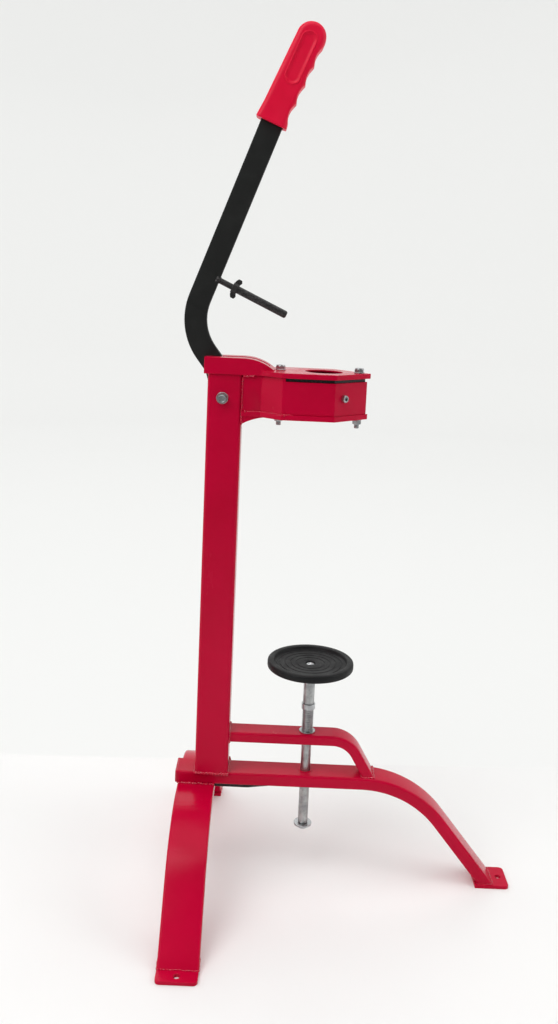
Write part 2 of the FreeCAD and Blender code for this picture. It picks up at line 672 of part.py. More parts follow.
def make_cam():
    """Cam and hub at the lever's root. Its front is an involute, so that the pusher moves evenly with
    the lever: it pushes a flat face that is always at the same height above the pivot."""
    swing = math.radians(number("lever_swing"))
    base = number("jaw_travel") * math.sqrt(2) / swing
    rest, hub = number("cam_rest"), number("hub_boss")
    lean = math.radians(number("lower_lean"))
    rise, offset, half = number("root_rise"), number("root_offset"), number("lever_width") / 2
    up, over = Vector(-math.sin(lean), 0, math.cos(lean)), Vector(math.cos(lean), 0, math.sin(lean))
    rear = up * rise + over * (offset - half)

    def involute(angle):
        reach = rest + base * angle
        return Vector(reach * math.cos(angle) - base * math.sin(angle), 0,
                      reach * math.sin(angle) + base * math.cos(angle))

    def touch(point, side):
        """Where a line from a point touches the hub."""
        turn = math.atan2(point.z, point.x) + side * math.acos(hub / point.Length)
        return Vector(hub * math.cos(turn), 0, hub * math.sin(turn))

    low_front, low_rear = touch(involute(0), -1), touch(rear, 1)
    steps = 12
    nose = Part.BSplineCurve()
    nose.interpolate([involute(swing * i / steps) for i in range(steps + 1)])
    end = involute(swing)
    corners = [end, rear + over * (end - rear).dot(over), rear, low_rear]
    outline = Part.Wire(
        [Part.Arc(low_rear, Vector(0, 0, -hub), low_front).toShape()]
        + [Part.LineSegment(low_front, involute(0)).toShape(), nose.toShape()]
        + [Part.LineSegment(a, b).toShape() for a, b in zip(corners, corners[1:])]
    )
    thick = number("lever_thick")
    plate = Part.Face(outline).extrude(Vector(0, thick, 0))
    radius = number("pivot_radius + sliding_gap")
    bore = Part.makeCylinder(radius, 2 * thick, Vector(0, -thick, 0), Vector(0, 1, 0))
    cam = doc.addObject("Part::Feature", "lever_cam")
    cam.Label = "lever_cam"
    plate.translate(Vector(0, -thick / 2, 0))
    cam.Shape = plate.cut(bore)
    cam.setExpression("Placement.Base.x", bound("axis_x - pivot_reach"))
    cam.setExpression("Placement.Base.z", bound("pivot_height"))
    parts.append(cam)


def make_grip():
    """Moulded grip on the bar's end: round edges, finger hollows in front, a thumb recess on each side."""
    end_x = "(lever_bend_radius - lever_bend_radius * cos(lever_bend) + upper_length * sin(lever_bend))"
    end_z = "(lower_length + lever_bend_radius * sin(lever_bend) + upper_length * cos(lever_bend))"
    x = "axis_x + %s + %s * cos(lower_lean) - %s * sin(lower_lean)" % (ROOT_X, end_x, end_z)
    z = "%s + %s * sin(lower_lean) + %s * cos(lower_lean)" % (ROOT_Z, end_x, end_z)
    body = new_body("grip", x, z, "%s + grip_tilt" % UPPER_LEAN)
    sketch = new_sketch(body, "XZ")
    round_end = "((grip_half + grip_rear) / 2 - grip_lean / 4)"
    draw(sketch, [
        ("-grip_rear - grip_mouth", "0"),
        ("grip_half + grip_mouth", "0"),
        ("grip_half", "finger_first / 2"),
        ("grip_half + grip_lean / 2", "grip_length - %s - 1" % round_end),
        ("-grip_rear + grip_lean", "grip_length - %s + 1" % round_end, round_end + " + 0.1", 1),
        ("-grip_rear", "finger_first"),
    ])
    pad(body, sketch, "grip_thick", symmetric=True)
    side = number("grip_thick / 2")
    round_edges(body, "grip_round", lambda edge: abs(edge.BoundBox.YMin - edge.BoundBox.YMax) < 1e-6
                and abs(abs(edge.BoundBox.YMin) - side) < 1e-6 and edge.BoundBox.ZMax > 1)
    for i in range(4):
        hollow = new_sketch(body, "XZ")
        draw_circle(hollow, "grip_half + finger_radius - finger_depth + %g * 0.5" % i,
                    "finger_first + finger_pitch * %d" % i, "finger_radius")
        cut(body, hollow, "2 * grip_thick", symmetric=True)
    for sign in ("", "-"):
        recess = new_sketch(body, "XZ", "%s(grip_thick / 2 - thumb_deep)" % sign)
        draw(recess, [
            ("thumb_half", "thumb_low", "thumb_half + 0.01", 1),
            ("thumb_half", "thumb_high"),
            ("-thumb_half", "thumb_high", "thumb_half + 0.01", 1),
            ("-thumb_half", "thumb_low"),
        ])
        cut(body, recess, "grip_thick", back=not sign)
    half, deep = "(lever_width / 2 + grip_gap)", "(grip_depth + grip_gap)"

    def in_bar(across, rise):
        """A point given across and along the bar, seen from the tilted grip."""
        return ("%s * cos(grip_tilt) - %s * sin(grip_tilt)" % (across, rise),
                "%s * sin(grip_tilt) + %s * cos(grip_tilt)" % (across, rise))

    slot = new_sketch(body, "XZ")
    places = ((half, "(-2)"), (half, deep), ("(-%s)" % half, deep), ("(-%s)" % half, "(-2)"))
    draw(slot, [in_bar(across, height) for across, height in places])
    cut(body, slot, "lever_thick + 2 * grip_gap", symmetric=True)


def plunger_body(label):
    """A piece on the plunger's line. Its own Z is upright when the lever is down."""
    return new_body(label, "axis_x - pivot_reach", "pivot_height", "-lever_swing")


def turned_on_plunger(body, outline):
    """Turns an outline of (radius, height) about the plunger's line."""
    sketch = new_sketch(body, "XZ")
    draw(sketch, [("pivot_reach + " + radius, height) for radius, height in outline])
    edges = [i for i in range(len(outline)) if outline[i][0] == "0" and outline[i - 1][0] == "0"]
    turn_solid(body, sketch, "Edge%d" % (edges[0] + 1))


def make_plunger(bar):
    """Stud on the bar, the rod that screws onto it, and the wing nut that locks the rod."""
    rod_top = "(plunger_length - tip_drop)"
    nut_top = "(%s + wing_thick)" % rod_top
    rod = plunger_body("plunger_rod")
    turned_on_plunger(rod, [
        ("0", "-tip_drop"),
        ("plunger_radius - tip_chamfer", "-tip_drop"),
        ("plunger_radius", "tip_chamfer - tip_drop"),
        ("plunger_radius", rod_top),
        ("stud_radius + sliding_gap", rod_top),
        ("stud_radius + sliding_gap", rod_top + " - plunger_thread"),
        ("0", rod_top + " - plunger_thread"),
    ])
    stud = doc.addObject("PartDesign::Body", "stud_bar")
    stud.Placement = rod.Placement
    for name in ("Placement.Base.x", "Placement.Base.z"):
        stud.setExpression(name, bound("axis_x - pivot_reach" if name.endswith("x") else "pivot_height"))
    stud.setExpression("Placement.Rotation.Angle", bound("-lever_swing"))
    turned_on_plunger(stud, [
        ("0", rod_top + " - plunger_thread + 1"),
        ("stud_radius", rod_top + " - plunger_thread + 1"),
        ("stud_radius", nut_top + " + lever_width"),
        ("0", nut_top + " + lever_width"),
    ])
    seated = doc.addObject("Part::Cut", "plunger_stud")
    seated.Label = "plunger_stud"
    seated.Base = stud
    seated.Tool = bar
    parts.append(seated)
    nut = plunger_body("wing_nut")
    section = new_sketch(nut, "XY", rod_top)
    draw_circle(section, "pivot_reach", "0", "wing_radius")
    pad(nut, section, "wing_thick")
    for sign in ("", "-"):
        wing = new_sketch(nut, "XZ")
        inner, tip = "pivot_reach + %s(stud_radius + 1)" % sign, "pivot_reach + %swing_span" % sign
        knee = "pivot_reach + %s(wing_span - 3)" % sign
        draw(wing, [
            (inner, rod_top + " + 0.5"),
            (knee, rod_top + " - wing_lean"),
            (tip, rod_top + " - wing_lean + 1.5"),
            (tip, nut_top + " - wing_lean - 1.5"),
            (knee, nut_top + " - wing_lean + 0.5"),
            (inner, nut_top + " - 0.5"),
        ])
        pad(nut, wing, "wing_wide", symmetric=True)
    bore = new_sketch(nut, "XY", nut_top)
    draw_circle(bore, "pivot_reach", "0", "stud_radius + sliding_gap")
    cut(nut, bore, "wing_thick + wing_lean + 1")


# Jaw housing

def head_outline(offset, rear):
    """Plan of the housing, grown by an offset: neck, flare, straight sides and a square nose."""
    lean = "tan(atan((head_half - column_side / 2) / (neck_end - flare_end)) / 2)"
    side = [
        (rear, "(column_side / 2 + %s)" % offset),
        ("(-neck_end - %s * %s)" % (offset, lean), "(column_side / 2 + %s)" % offset),
        ("(-flare_end - %s * %s)" % (offset, lean), "(head_half + %s)" % offset),
        ("(nose_reach - head_half + %s * tan(22.5))" % offset, "(head_half + %s)" % offset),
    ]
    nose = [("(nose_reach + %s * sqrt(2))" % offset, "0")]
    return [(x, "-" + y) for x, y in side] + nose + side[::-1]


def bolt_holes(body, plane_height, depth):
    """Clearance holes for the two bolts that hold the housing together."""
    for x in ("-rear_bolt", "nose_bolt"):
        hole = new_sketch(body, "XY", plane_height)
        draw_circle(hole, x, "0", "bolt_radius + bolt_gap")
        cut(body, hole, depth)


def make_head_box():
    """Upright walls of the housing: neck, flare, sides and nose, with the return spring's seat inside."""
    body = new_body("head_box", z="box_bottom")
    outline = new_sketch(body, "XY")
    draw(outline, head_outline("0", COLUMN_FRONT))
    pad(body, outline, "box_height")
    inside = new_sketch(body, "XY")
    draw(inside, head_outline("-head_wall", COLUMN_FRONT + " - 1"))
    cut(body, inside, "box_height", back=True)
    outer = head_outline("0", COLUMN_FRONT)[:3] + [("-rim_end", "-head_half")]
    inner = head_outline("-head_wall", COLUMN_FRONT)[:3] + [("-rim_end", "-(head_half - head_wall)")]
    near = outer + inner[::-1]
    for corners in (near, [(x, "-(%s)" % y) for x, y in near[::-1]]):
        rim = new_sketch(body, "XY", "box_height")
        draw(rim, corners)
        pad(body, rim, "guide_thick - rim_gap")
    seat = new_sketch(body, "XY", "box_height / 2 - 2 * return_spring_radius")
    wall = "head_half - head_wall + 0.5"
    draw(seat, box_corners("-seat_reach", "-seat_reach + seat_thick", "seat_inner", wall))
    pad(body, seat, "4 * return_spring_radius")
    facet = "(nose_reach / sqrt(2))"
    hole = doc.addObject("PartDesign::Body", "jaw_screw_hole")
    sketch = new_sketch(hole, "XZ", facet + " - 2 * head_wall")
    draw_circle(sketch, "-jaw_screw_side", "box_bottom + jaw_screw_height", "jaw_screw_radius + bolt_gap")
    pad(hole, sketch, "3 * head_wall")
    hole.Placement = FreeCAD.Placement(Vector(0, 0, 0), FreeCAD.Rotation(Vector(0, 0, 1), 45))
    hole.setExpression("Placement.Base.x", bound("axis_x"))
    parts.remove(body)
    body.Label = "head_box_walls"
    drilled = doc.addObject("Part::Cut", "head_box")
    drilled.Label = "head_box"
    drilled.Base = body
    drilled.Tool = hole
    parts.append(drilled)


def make_head_bottom():
    """Bottom plate with the hole for the bottle's mouth, and the curved gusset down to the column."""
    body = new_body("head_bottom_plate", z="box_bottom - bottom_thick")
    outline = new_sketch(body, "XY")
    draw(outline, head_outline("bottom_lip", COLUMN_FRONT))
    draw_circle(outline, "0", "0", "mouth_radius")
    pad(body, outline, "bottom_thick")
    run = "(%s + gusset_start)" % COLUMN_FRONT
    drop = "(gusset_radius - sqrt(gusset_radius ^ 2 - %s ^ 2))" % run
    side = new_sketch(body, "XZ")
    draw(side, [
        (COLUMN_FRONT, "-" + drop),
        ("-gusset_start", "0", "gusset_radius", -1),
        ("-gusset_start", "bottom_thick / 2"),
        (COLUMN_FRONT, "bottom_thick / 2"),
    ])
    pad(body, side, "column_side", symmetric=True)
    bolt_holes(body, "bottom_thick + 1", "bottom_thick + 20")


def make_guide_plate():
    """Plate over the jaws, with the hole that the cork drops through."""
    body = new_body("cork_guide_plate", z="box_bottom + box_height")
    outline = new_sketch(body, "XY")
    slope = "((head_half - column_side / 2) / (neck_end - flare_end))"
    inside = "(head_wall + guide_gap)"
    level = "column_side / 2 + %s * (neck_end - guide_back)" % slope
    half = "(%s - %s * sqrt(1 + %s ^ 2))" % (level, inside, slope)
    step = "(-rim_end + guide_gap)"
    near = [("-guide_back", "-" + half), head_outline("-" + inside, "-guide_back")[2]]
    near += [(step, "-(head_half - %s)" % inside), (step, "-(head_half - guide_inset)")]
    nose = head_outline("-guide_inset", "-guide_back")[3:6]
    draw(outline, near + nose + [(x, "-(%s)" % y) for x, y in near[::-1]])
    draw_circle(outline, "-cork_offset", "0", "cork_radius")
    pad(body, outline, "guide_thick")
    bolt_holes(body, "guide_thick + 1", "guide_thick + 2")


def make_cover():
    """Pressed cover: flat plate with a folded edge, ramp, and the hood over the column's top."""
    body = new_body("head_top_cover", z=COVER_BOTTOM)
    rise = "(hood_top - %s)" % COVER_BOTTOM
    rear = "(-column_reach - column_side / 2 - hood_back)"
    plate = new_sketch(body, "XY")
    draw(plate, head_outline("cover_lip", "-guide_back"))
    pad(body, plate, "cover_edge")

    def hood_side(inset, drop):
        """Side view of the hood, its sheet's outside for 0 or the space inside for one sheet."""
        curve = "(hood_curve - %s)" % inset
        fall = "(%s - cover_edge)" % rise
        run = "sqrt(%s ^ 2 - (%s - %s) ^ 2)" % (curve, curve, fall)
        return [
            ("%s + %s" % (rear, inset), drop),
            ("-hood_flat_end + %s" % run, drop),
            ("-hood_flat_end + %s" % run, "cover_edge - %s" % inset),
            ("-hood_flat_end", "%s - %s" % (rise, inset), curve, 1),
            ("%s + %s" % (rear, inset), "%s - %s" % (rise, inset)),
        ]

    hood = new_sketch(body, "XZ")
    draw(hood, hood_side("0", "0"))
    pad(body, hood, "column_side + 2 * cover_lip", symmetric=True)
    inside = new_sketch(body, "XY")
    draw(inside, head_outline("(cover_lip - cover_sheet)", "-guide_back"))
    cut(body, inside, "cover_edge - cover_sheet", back=True)
    hollow = new_sketch(body, "XZ")
    draw(hollow, hood_side("cover_sheet", "-1"))
    cut(body, hollow, "column_side + 2 * (cover_lip - cover_sheet)", symmetric=True)
    slot = new_sketch(body, "XZ")
    draw(slot, box_corners(rear + " - 1", "-slot_end", "-1", rise + " + 1"))
    cut(body, slot, "2 * slot_half", symmetric=True)
    hole = new_sketch(body, "XY", "cover_edge + 1")
    draw_circle(hole, "-cover_offset", "0", "cover_hole")
    cut(body, hole, "cover_edge + 2")
    bolt_holes(body, "cover_edge + 1", "cover_edge + 2")


# Jaws and pusher. p and q run along the two slopes of the housing's nose, 45 degrees either side of X.

def slanted(p, q):
    """A point given along the nose's two slopes, as (x, y)."""
    return "((%s) + (%s)) / sqrt(2)" % (p, q), "((%s) - (%s)) / sqrt(2)" % (p, q)


JAW_REACH = "(nose_reach / sqrt(2) - head_wall - jaw_gap)"
JAW_EDGE = "(jaw_gap / 2)"
JAW_HEIGHT = "(box_height - 2 * jaw_gap)"


def hollow_nose(body, back_p, back_q):
    """Hollows a jaw's nose twice: for the closed bore, and for a fresh cork between the open jaws."""
    middle = slanted("%s - jaw_travel / 2" % back_p, "%s - jaw_travel / 2" % back_q)
    for place, radius in ((("0", "0"), "bore_radius"), (middle, "cork_clear")):
        hollow = new_sketch(body, "XY")
        draw_circle(hollow, place[0], place[1], radius)
        cut(body, hollow, JAW_HEIGHT, back=True)


def make_jaw(label, corners, back_p, back_q):
    """One sliding jaw, drawn where it is when closed and moved back to its open place."""
    body = new_body(label, "axis_x - (%s + %s) / sqrt(2)" % (back_p, back_q), "box_bottom + jaw_gap")
    body.setExpression("Placement.Base.y", bound("-(%s - (%s)) / sqrt(2)" % (back_p, back_q)))
    sketch = new_sketch(body, "XY")
    draw(sketch, [slanted(p, q) for p, q in corners])
    pad(body, sketch, JAW_HEIGHT)
    hollow_nose(body, back_p, back_q)
    return body


def make_jaws():
    """Four jaws close round the cork: one fixed to the housing, two sliding, one on the pusher."""
    near_cut = "(jaw_side * sqrt(2))"
    nose_cut = "(jaw_nose * sqrt(2))"
    side_jaw = [
        ("-" + JAW_EDGE, JAW_EDGE),
        ("-" + JAW_EDGE, JAW_REACH),
        ("-%s + %s" % (near_cut, JAW_REACH), JAW_REACH),
        ("-" + JAW_REACH, "%s - %s" % (near_cut, JAW_REACH)),
        ("-" + JAW_REACH, JAW_EDGE),
    ]
    fixed = make_jaw("jaw_fixed", side_jaw, "0", "0")
    make_jaw("jaw_front", [
        (JAW_EDGE, JAW_EDGE),
        (JAW_REACH, JAW_EDGE),
        (JAW_REACH, "%s - %s" % (nose_cut, JAW_REACH)),
        ("%s - %s" % (nose_cut, JAW_REACH), JAW_REACH),
        (JAW_EDGE, JAW_REACH),
    ], "0", "jaw_travel")
    make_jaw("jaw_rear", [
        ("-" + JAW_EDGE, "-" + JAW_EDGE),
        ("-" + JAW_EDGE, "-" + JAW_REACH),
        ("-" + JAW_REACH, "-" + JAW_REACH),
        ("-" + JAW_REACH, "-" + JAW_EDGE),
    ], "jaw_travel", "0")
    drill = doc.addObject("PartDesign::Body", "jaw_thread")
    sketch = new_sketch(drill, "XZ", JAW_REACH + " - jaw_screw_length")
    draw_circle(sketch, "-jaw_screw_side", "box_bottom + jaw_screw_height", "jaw_screw_radius")
    pad(drill, sketch, "jaw_screw_length + 1")
    drill.Placement = FreeCAD.Placement(Vector(0, 0, 0), FreeCAD.Rotation(Vector(0, 0, 1), 45))
    drill.setExpression("Placement.Base.x", bound("axis_x"))
    parts.remove(fixed)
    fixed.Label = "jaw_fixed_blank"
    tapped = doc.addObject("Part::Cut", "jaw_fixed")
    tapped.Label = "jaw_fixed"
    tapped.Base = fixed
    tapped.Tool = drill
    parts.append(tapped)


NOTCH = "(-(%s + 2 * jaw_gap) * sqrt(2))" % JAW_REACH
ARM = "(%s + pusher_arm)" % NOTCH
FLARE = "((head_half - column_side / 2) / (neck_end - flare_end))"
NEST_SHIFT = "(head_wall + nest_gap) * tan(atan(%s) / 2) + %s" % (FLARE, PUSHER_TRAVEL)


def make_pusher():
    """Casting that the cam pushes: stem with a raised heel, a notched block that nests in the housing's
    flare, an ear for the return spring, and the far jaw on the end of one arm."""
    body = new_body("pusher", "axis_x - " + PUSHER_TRAVEL, "box_bottom + jaw_gap")
    back = "(%s - pusher_back)" % NOTCH
    knee, elbow = "(-neck_end + %s)" % NEST_SHIFT, "(-flare_end + %s)" % NEST_SHIFT
    neck, side = "(column_side / 2 - head_wall - nest_gap)", "(head_half - head_wall - nest_gap)"
    block = new_sketch(body, "XY")
    draw(block, [
        (NOTCH, "0"),
        (ARM, "-pusher_arm"),
        (elbow, "-" + side),
        (knee, "-" + neck),
        (back, "-" + neck),
        (back, neck),
        (knee, neck),
        (elbow, side),
        (ARM, side),
        (ARM, "pusher_arm - 0.5"),
        (ARM + " - 0.5", "pusher_arm - 0.5"),
    ])
    pad(body, block, JAW_HEIGHT)
    low = "(pivot_height - stem_low - box_bottom - jaw_gap)"
    tail = "(-pivot_reach + cam_rest + contact_gap + %s)" % PUSHER_TRAVEL
    contact = "jaw_travel * sqrt(2) / (lever_swing * 3.14159265 / 180)"
    heel = ("(%s + heel_length)" % tail, contact + " + heel_over")
    for front, high in (("(%s + 1)" % back, "stem_high"), heel):
        stem = new_sketch(body, "XY", low)
        draw(stem, box_corners(tail, front, "-stem_half", "stem_half"))
        pad(body, stem, "stem_low + " + high)
    slot = new_sketch(body, "XY")
    draw(slot, box_corners(NOTCH + " - bolt_slot_length", ARM, "-bolt_slot", "bolt_slot"))
    cut(body, slot, JAW_HEIGHT, back=True)
    reach, cut_line = "(%s + 0.7)" % JAW_REACH, "(jaw_side * sqrt(2))"
    jaw = new_sketch(body, "XY")
    draw(jaw, [slanted(p, q) for p, q in [
        (JAW_EDGE, "-" + JAW_EDGE),
        (JAW_REACH, "-" + JAW_EDGE),
        (JAW_REACH, "%s - %s" % (JAW_REACH, cut_line)),
        ("%s - %s" % (cut_line, reach), "-" + reach),
        (JAW_EDGE, "-" + reach),
    ]])
    pad(body, jaw, JAW_HEIGHT)
    hollow_nose(body, "jaw_travel", "jaw_travel")


def make_return_spring():
    """Spring that presses the pusher back: the closed outside of its coil."""
    start = "(%s - %s)" % (ARM, PUSHER_TRAVEL)
    body = new_body("return_spring", z="box_bottom + box_height / 2")
    sketch = new_sketch(body, "YZ", start + " + spring_slack")
    draw_circle(sketch, "return_spring_y", "0", "return_spring_radius")
    draw_circle(sketch, "return_spring_y", "0", "return_spring_radius - return_spring_wire")
    pad(body, sketch, "-seat_reach - %s - 2 * spring_slack" % start)


# Fasteners

def fused(label, pieces):
    """Several separate pieces in one node."""
    group = doc.addObject("Part::Compound", label)
    group.Label = label
    group.Links = pieces
    parts.append(group)


def bolt(name, x, z, shank, flats, head, length):
    """Hexagon bolt, head up, its head resting at z."""
    body = doc.addObject("PartDesign::Body", name)
    body.setExpression("Placement.Base.x", bound(x))
    body.setExpression("Placement.Base.z", bound(z))
    sketch = new_sketch(body, "XY")
    draw(sketch, hexagon(flats))
    pad(body, sketch, head)
    sketch = new_sketch(body, "XY")
    draw_circle(sketch, "0", "0", shank)
    pad(body, sketch, length, back=True)
    return body


def ring(name, x, z, radius, bore, thick, flats=False):
    """Washer, spacer or nut that stands at z."""
    body = doc.addObject("PartDesign::Body", name)
    body.setExpression("Placement.Base.x", bound(x))
    body.setExpression("Placement.Base.z", bound(z))
    sketch = new_sketch(body, "XY")
    if flats:
        draw(sketch, hexagon(radius))
    else:
        draw_circle(sketch, "0", "0", radius)
    draw_circle(sketch, "0", "0", bore)
    pad(body, sketch, thick)
    return body


def make_housing_fasteners():
    """Two long bolts that hold cover, guide plate, housing and bottom plate together."""
    under = "(box_bottom - bottom_thick)"
    bolts, washers, nuts = [], [], []
    length = "%s + 2 * washer_thick - %s + nut_high + bolt_tail" % (COVER_TOP, under)
    bore = "bolt_radius + bolt_gap"
    for i, x in enumerate(("axis_x - rear_bolt", "axis_x + nose_bolt")):
        top = COVER_TOP + " + washer_thick"
        bolts.append(bolt("bolt_%d" % i, x, top, "bolt_radius", "bolt_flats", "bolt_head", length))
        washers.append(ring("top_washer_%d" % i, x, COVER_TOP, "washer_radius", bore, "washer_thick"))
        low = under + " - washer_thick"
        washers.append(ring("low_washer_%d" % i, x, low, "washer_radius", bore, "washer_thick"))
        nut_z = under + " - washer_thick - nut_high"
        nuts.append(ring("nut_%d" % i, x, nut_z, "bolt_flats", "bolt_radius", "nut_high", flats=True))
    fused("head_bolts", bolts)
    fused("head_washers", washers)
    fused("head_nuts", nuts)


def across(name, y):
    """Turns a piece made along Z so that it runs along +Y through the pivot, from the place y."""
    piece = doc.getObject(name)
    piece.Placement = FreeCAD.Placement(Vector(0, 0, 0), FreeCAD.Rotation(Vector(1, 0, 0), -90))
    piece.setExpression("Placement.Base.x", bound("axis_x - pivot_reach"))
    piece.setExpression("Placement.Base.y", bound(y))
    piece.setExpression("Placement.Base.z", bound("pivot_height"))
    return piece


def make_pivot_fasteners():
    """Pivot bolt across the column, its washers and nut, and the spacers beside the cam."""
    half = "(column_side / 2)"
    length = "column_side + 2 * pivot_washer_thick + pivot_nut + 2"
    bore = "pivot_radius + bolt_gap"
    bolt("pivot_bolt", "0", "0", "pivot_radius", "pivot_flats", "pivot_head", length)
    piece = doc.getObject("pivot_bolt")
    piece.Placement = FreeCAD.Placement(Vector(0, 0, 0), FreeCAD.Rotation(Vector(1, 0, 0), 90))
    piece.setExpression("Placement.Base.x", bound("axis_x - pivot_reach"))
    piece.setExpression("Placement.Base.y", bound("-%s - pivot_washer_thick" % half))
    piece.setExpression("Placement.Base.z", bound("pivot_height"))
    parts.append(piece)
    ring("near_washer", "0", "0", "pivot_washer", bore, "pivot_washer_thick")
    ring("far_washer", "0", "0", "pivot_washer", bore, "pivot_washer_thick")
    near = across("near_washer", "-%s - pivot_washer_thick" % half)
    far = across("far_washer", half)
    fused("pivot_washers", [near, far])
    ring("pivot_nut", "0", "0", "pivot_flats", "pivot_radius", "pivot_nut", flats=True)
    parts.append(across("pivot_nut", "%s + pivot_washer_thick" % half))
    spacer = "(column_side / 2 - column_wall - lever_thick / 2 - 2 * contact_gap)"
    ring("near_spacer", "0", "0", "spacer_radius", bore, spacer)
    ring("far_spacer", "0", "0", "spacer_radius", bore, spacer)
    near = across("near_spacer", "-%s + column_wall + contact_gap" % half)
    far = across("far_spacer", "lever_thick / 2 + contact_gap")
    fused("pivot_spacers", [near, far])


def make_screws():
    """Socket screw that holds the fixed jaw, and the screw that holds the platform to its rod."""
    body = new_body("jaw_screw", turn="45", turn_axis=(0, 0, 1))
    facet = "(nose_reach / sqrt(2))"
    place = ("-jaw_screw_side", "box_bottom + jaw_screw_height")
    shank = new_sketch(body, "XZ", "%s - jaw_screw_length" % JAW_REACH)
    draw_circle(shank, place[0], place[1], "jaw_screw_radius")
    pad(body, shank, "%s - %s + jaw_screw_length + 0.1" % (facet, JAW_REACH))
    head = new_sketch(body, "XZ", facet)
    draw_circle(head, place[0], place[1], "jaw_screw_head")
    pad(body, head, "jaw_screw_head_high")
    socket = new_sketch(body, "XZ", facet + " + jaw_screw_head_high")
    flats = hexagon("jaw_screw_socket")
    draw(socket, [("-jaw_screw_side + " + x, "box_bottom + jaw_screw_height + " + z) for x, z in flats])
    cut(body, socket, "jaw_screw_head_high / 2")
    screw = new_body("platform_screw", z="platform_top - recess_depth - screw_sink")
    cap = new_sketch(screw, "XZ")
    draw(cap, [
        ("0", "0"),
        ("screw_head", "0"),
        ("screw_head - 1", "screw_head_high"),
        ("0", "screw_head_high"),
    ])
    turn_solid(screw, cap)


make_column()
make_front_leg()
make_rear_legs()
make_bridge()
make_foot("front_foot", "axis_x", "front_toe", "front_foot_width", "front_corner", BEAM_MIDDLE, "0")
for name, turn in (("left_foot", "90"), ("right_foot", "-90")):
    make_foot(name, "axis_x - rear_leg_reach", "rear_toe", "rear_leg_width", "rear_corner", REAR_MIDDLE, turn)
make_small_stand_pieces()
make_platform()
make_platform_rod()
make_guide_bushes()
make_platform_spring()
lever_bar = make_lever_bar()
make_cam()
make_grip()
make_plunger(lever_bar)
make_head_box()
make_head_bottom()
make_guide_plate()
make_cover()
make_jaws()
make_pusher()
make_return_spring()
make_housing_fasteners()
make_pivot_fasteners()
make_screws()
doc.recompute()

for thing in doc.Objects:
    if "Invalid" in thing.State or "Error" in thing.State:
        raise RuntimeError("%s failed: %s" % (thing.Label, thing.State))
os.makedirs("parts", exist_ok=True)
for part in parts:
    shape = part.Shape
    if shape.isNull() or not shape.isValid():
        raise RuntimeError("%s has no sound shape" % part.Label)
    shape.exportStep("parts/%s.step" % part.Label)
print("%d pieces written" % len(parts))
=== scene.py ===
import json
import math

import bmesh
import bpy
from mathutils import Matrix, Vector, noise

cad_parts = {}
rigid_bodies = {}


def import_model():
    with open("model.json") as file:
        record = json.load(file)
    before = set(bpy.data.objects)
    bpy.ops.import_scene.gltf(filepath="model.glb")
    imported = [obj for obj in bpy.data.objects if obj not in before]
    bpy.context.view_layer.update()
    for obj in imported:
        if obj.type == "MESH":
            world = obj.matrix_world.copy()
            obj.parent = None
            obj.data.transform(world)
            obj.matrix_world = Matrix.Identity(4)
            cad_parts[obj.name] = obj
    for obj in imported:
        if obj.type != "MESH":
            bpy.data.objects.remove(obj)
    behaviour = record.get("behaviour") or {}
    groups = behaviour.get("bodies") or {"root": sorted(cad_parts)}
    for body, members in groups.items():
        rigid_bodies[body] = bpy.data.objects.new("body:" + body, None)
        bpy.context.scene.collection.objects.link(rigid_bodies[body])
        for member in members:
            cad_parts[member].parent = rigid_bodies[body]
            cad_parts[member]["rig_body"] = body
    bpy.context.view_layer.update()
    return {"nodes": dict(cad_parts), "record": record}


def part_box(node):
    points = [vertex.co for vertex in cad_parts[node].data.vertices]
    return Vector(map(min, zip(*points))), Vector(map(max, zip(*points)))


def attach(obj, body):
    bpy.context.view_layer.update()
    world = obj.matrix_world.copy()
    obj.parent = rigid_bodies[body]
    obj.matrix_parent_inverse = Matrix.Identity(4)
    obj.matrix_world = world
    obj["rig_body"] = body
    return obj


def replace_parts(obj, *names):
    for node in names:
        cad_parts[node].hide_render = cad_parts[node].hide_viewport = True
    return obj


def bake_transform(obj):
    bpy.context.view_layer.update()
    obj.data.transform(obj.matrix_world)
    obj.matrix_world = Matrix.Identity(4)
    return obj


# The look of the floor corker, in metres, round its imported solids. +X runs from the column towards the front
# foot, and -Y is the side that the photograph shows: it is called near, and +Y far.

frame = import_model()
nodes = frame["nodes"]

BOTTLE_X = -0.0461
COLUMN_X = BOTTLE_X - 0.1145
COLUMN_FRONT = COLUMN_X + 0.02
LEGS_X = BOTTLE_X - 0.1325
PIVOT = Vector((BOTTLE_X - 0.117, 0, 0.592))
BEAM_UNDER = 0.1195
BEAM_TOP = 0.1345
BOTTOM_PLATE_UNDER = 0.572
BOTTOM_PLATE_TOP = 0.578
COVER_TOP = 0.6255

UP = Matrix.Identity(3)
DOWN = Matrix.Rotation(math.pi, 3, "X")
TO_NEAR = Matrix.Rotation(math.pi / 2, 3, "X")
TO_FAR = Matrix.Rotation(-math.pi / 2, 3, "X")


# Materials

def new_material(name):
    material = bpy.data.materials.new(name)
    material.use_nodes = True
    tree = material.node_tree
    return material, tree, tree.nodes["Principled BSDF"]


def node(tree, kind, **values):
    """A shader node with input values set. An underscore stands for a space in an input's name."""
    made = tree.nodes.new(kind)
    for key, value in values.items():
        made.inputs[key.replace("_", " ")].default_value = value
    return made


def noise_map(tree, scale, detail=3.0, roughness=0.5, stretch=(1, 1, 1)):
    """Noise in object space, so that it lies still on the object."""
    place = tree.nodes.new("ShaderNodeTexCoord")
    spread = node(tree, "ShaderNodeMapping", Scale=stretch)
    tree.links.new(place.outputs["Object"], spread.inputs["Vector"])
    pattern = node(tree, "ShaderNodeTexNoise", Scale=scale, Detail=detail, Roughness=roughness)
    tree.links.new(spread.outputs["Vector"], pattern.inputs["Vector"])
    return pattern.outputs["Fac"]


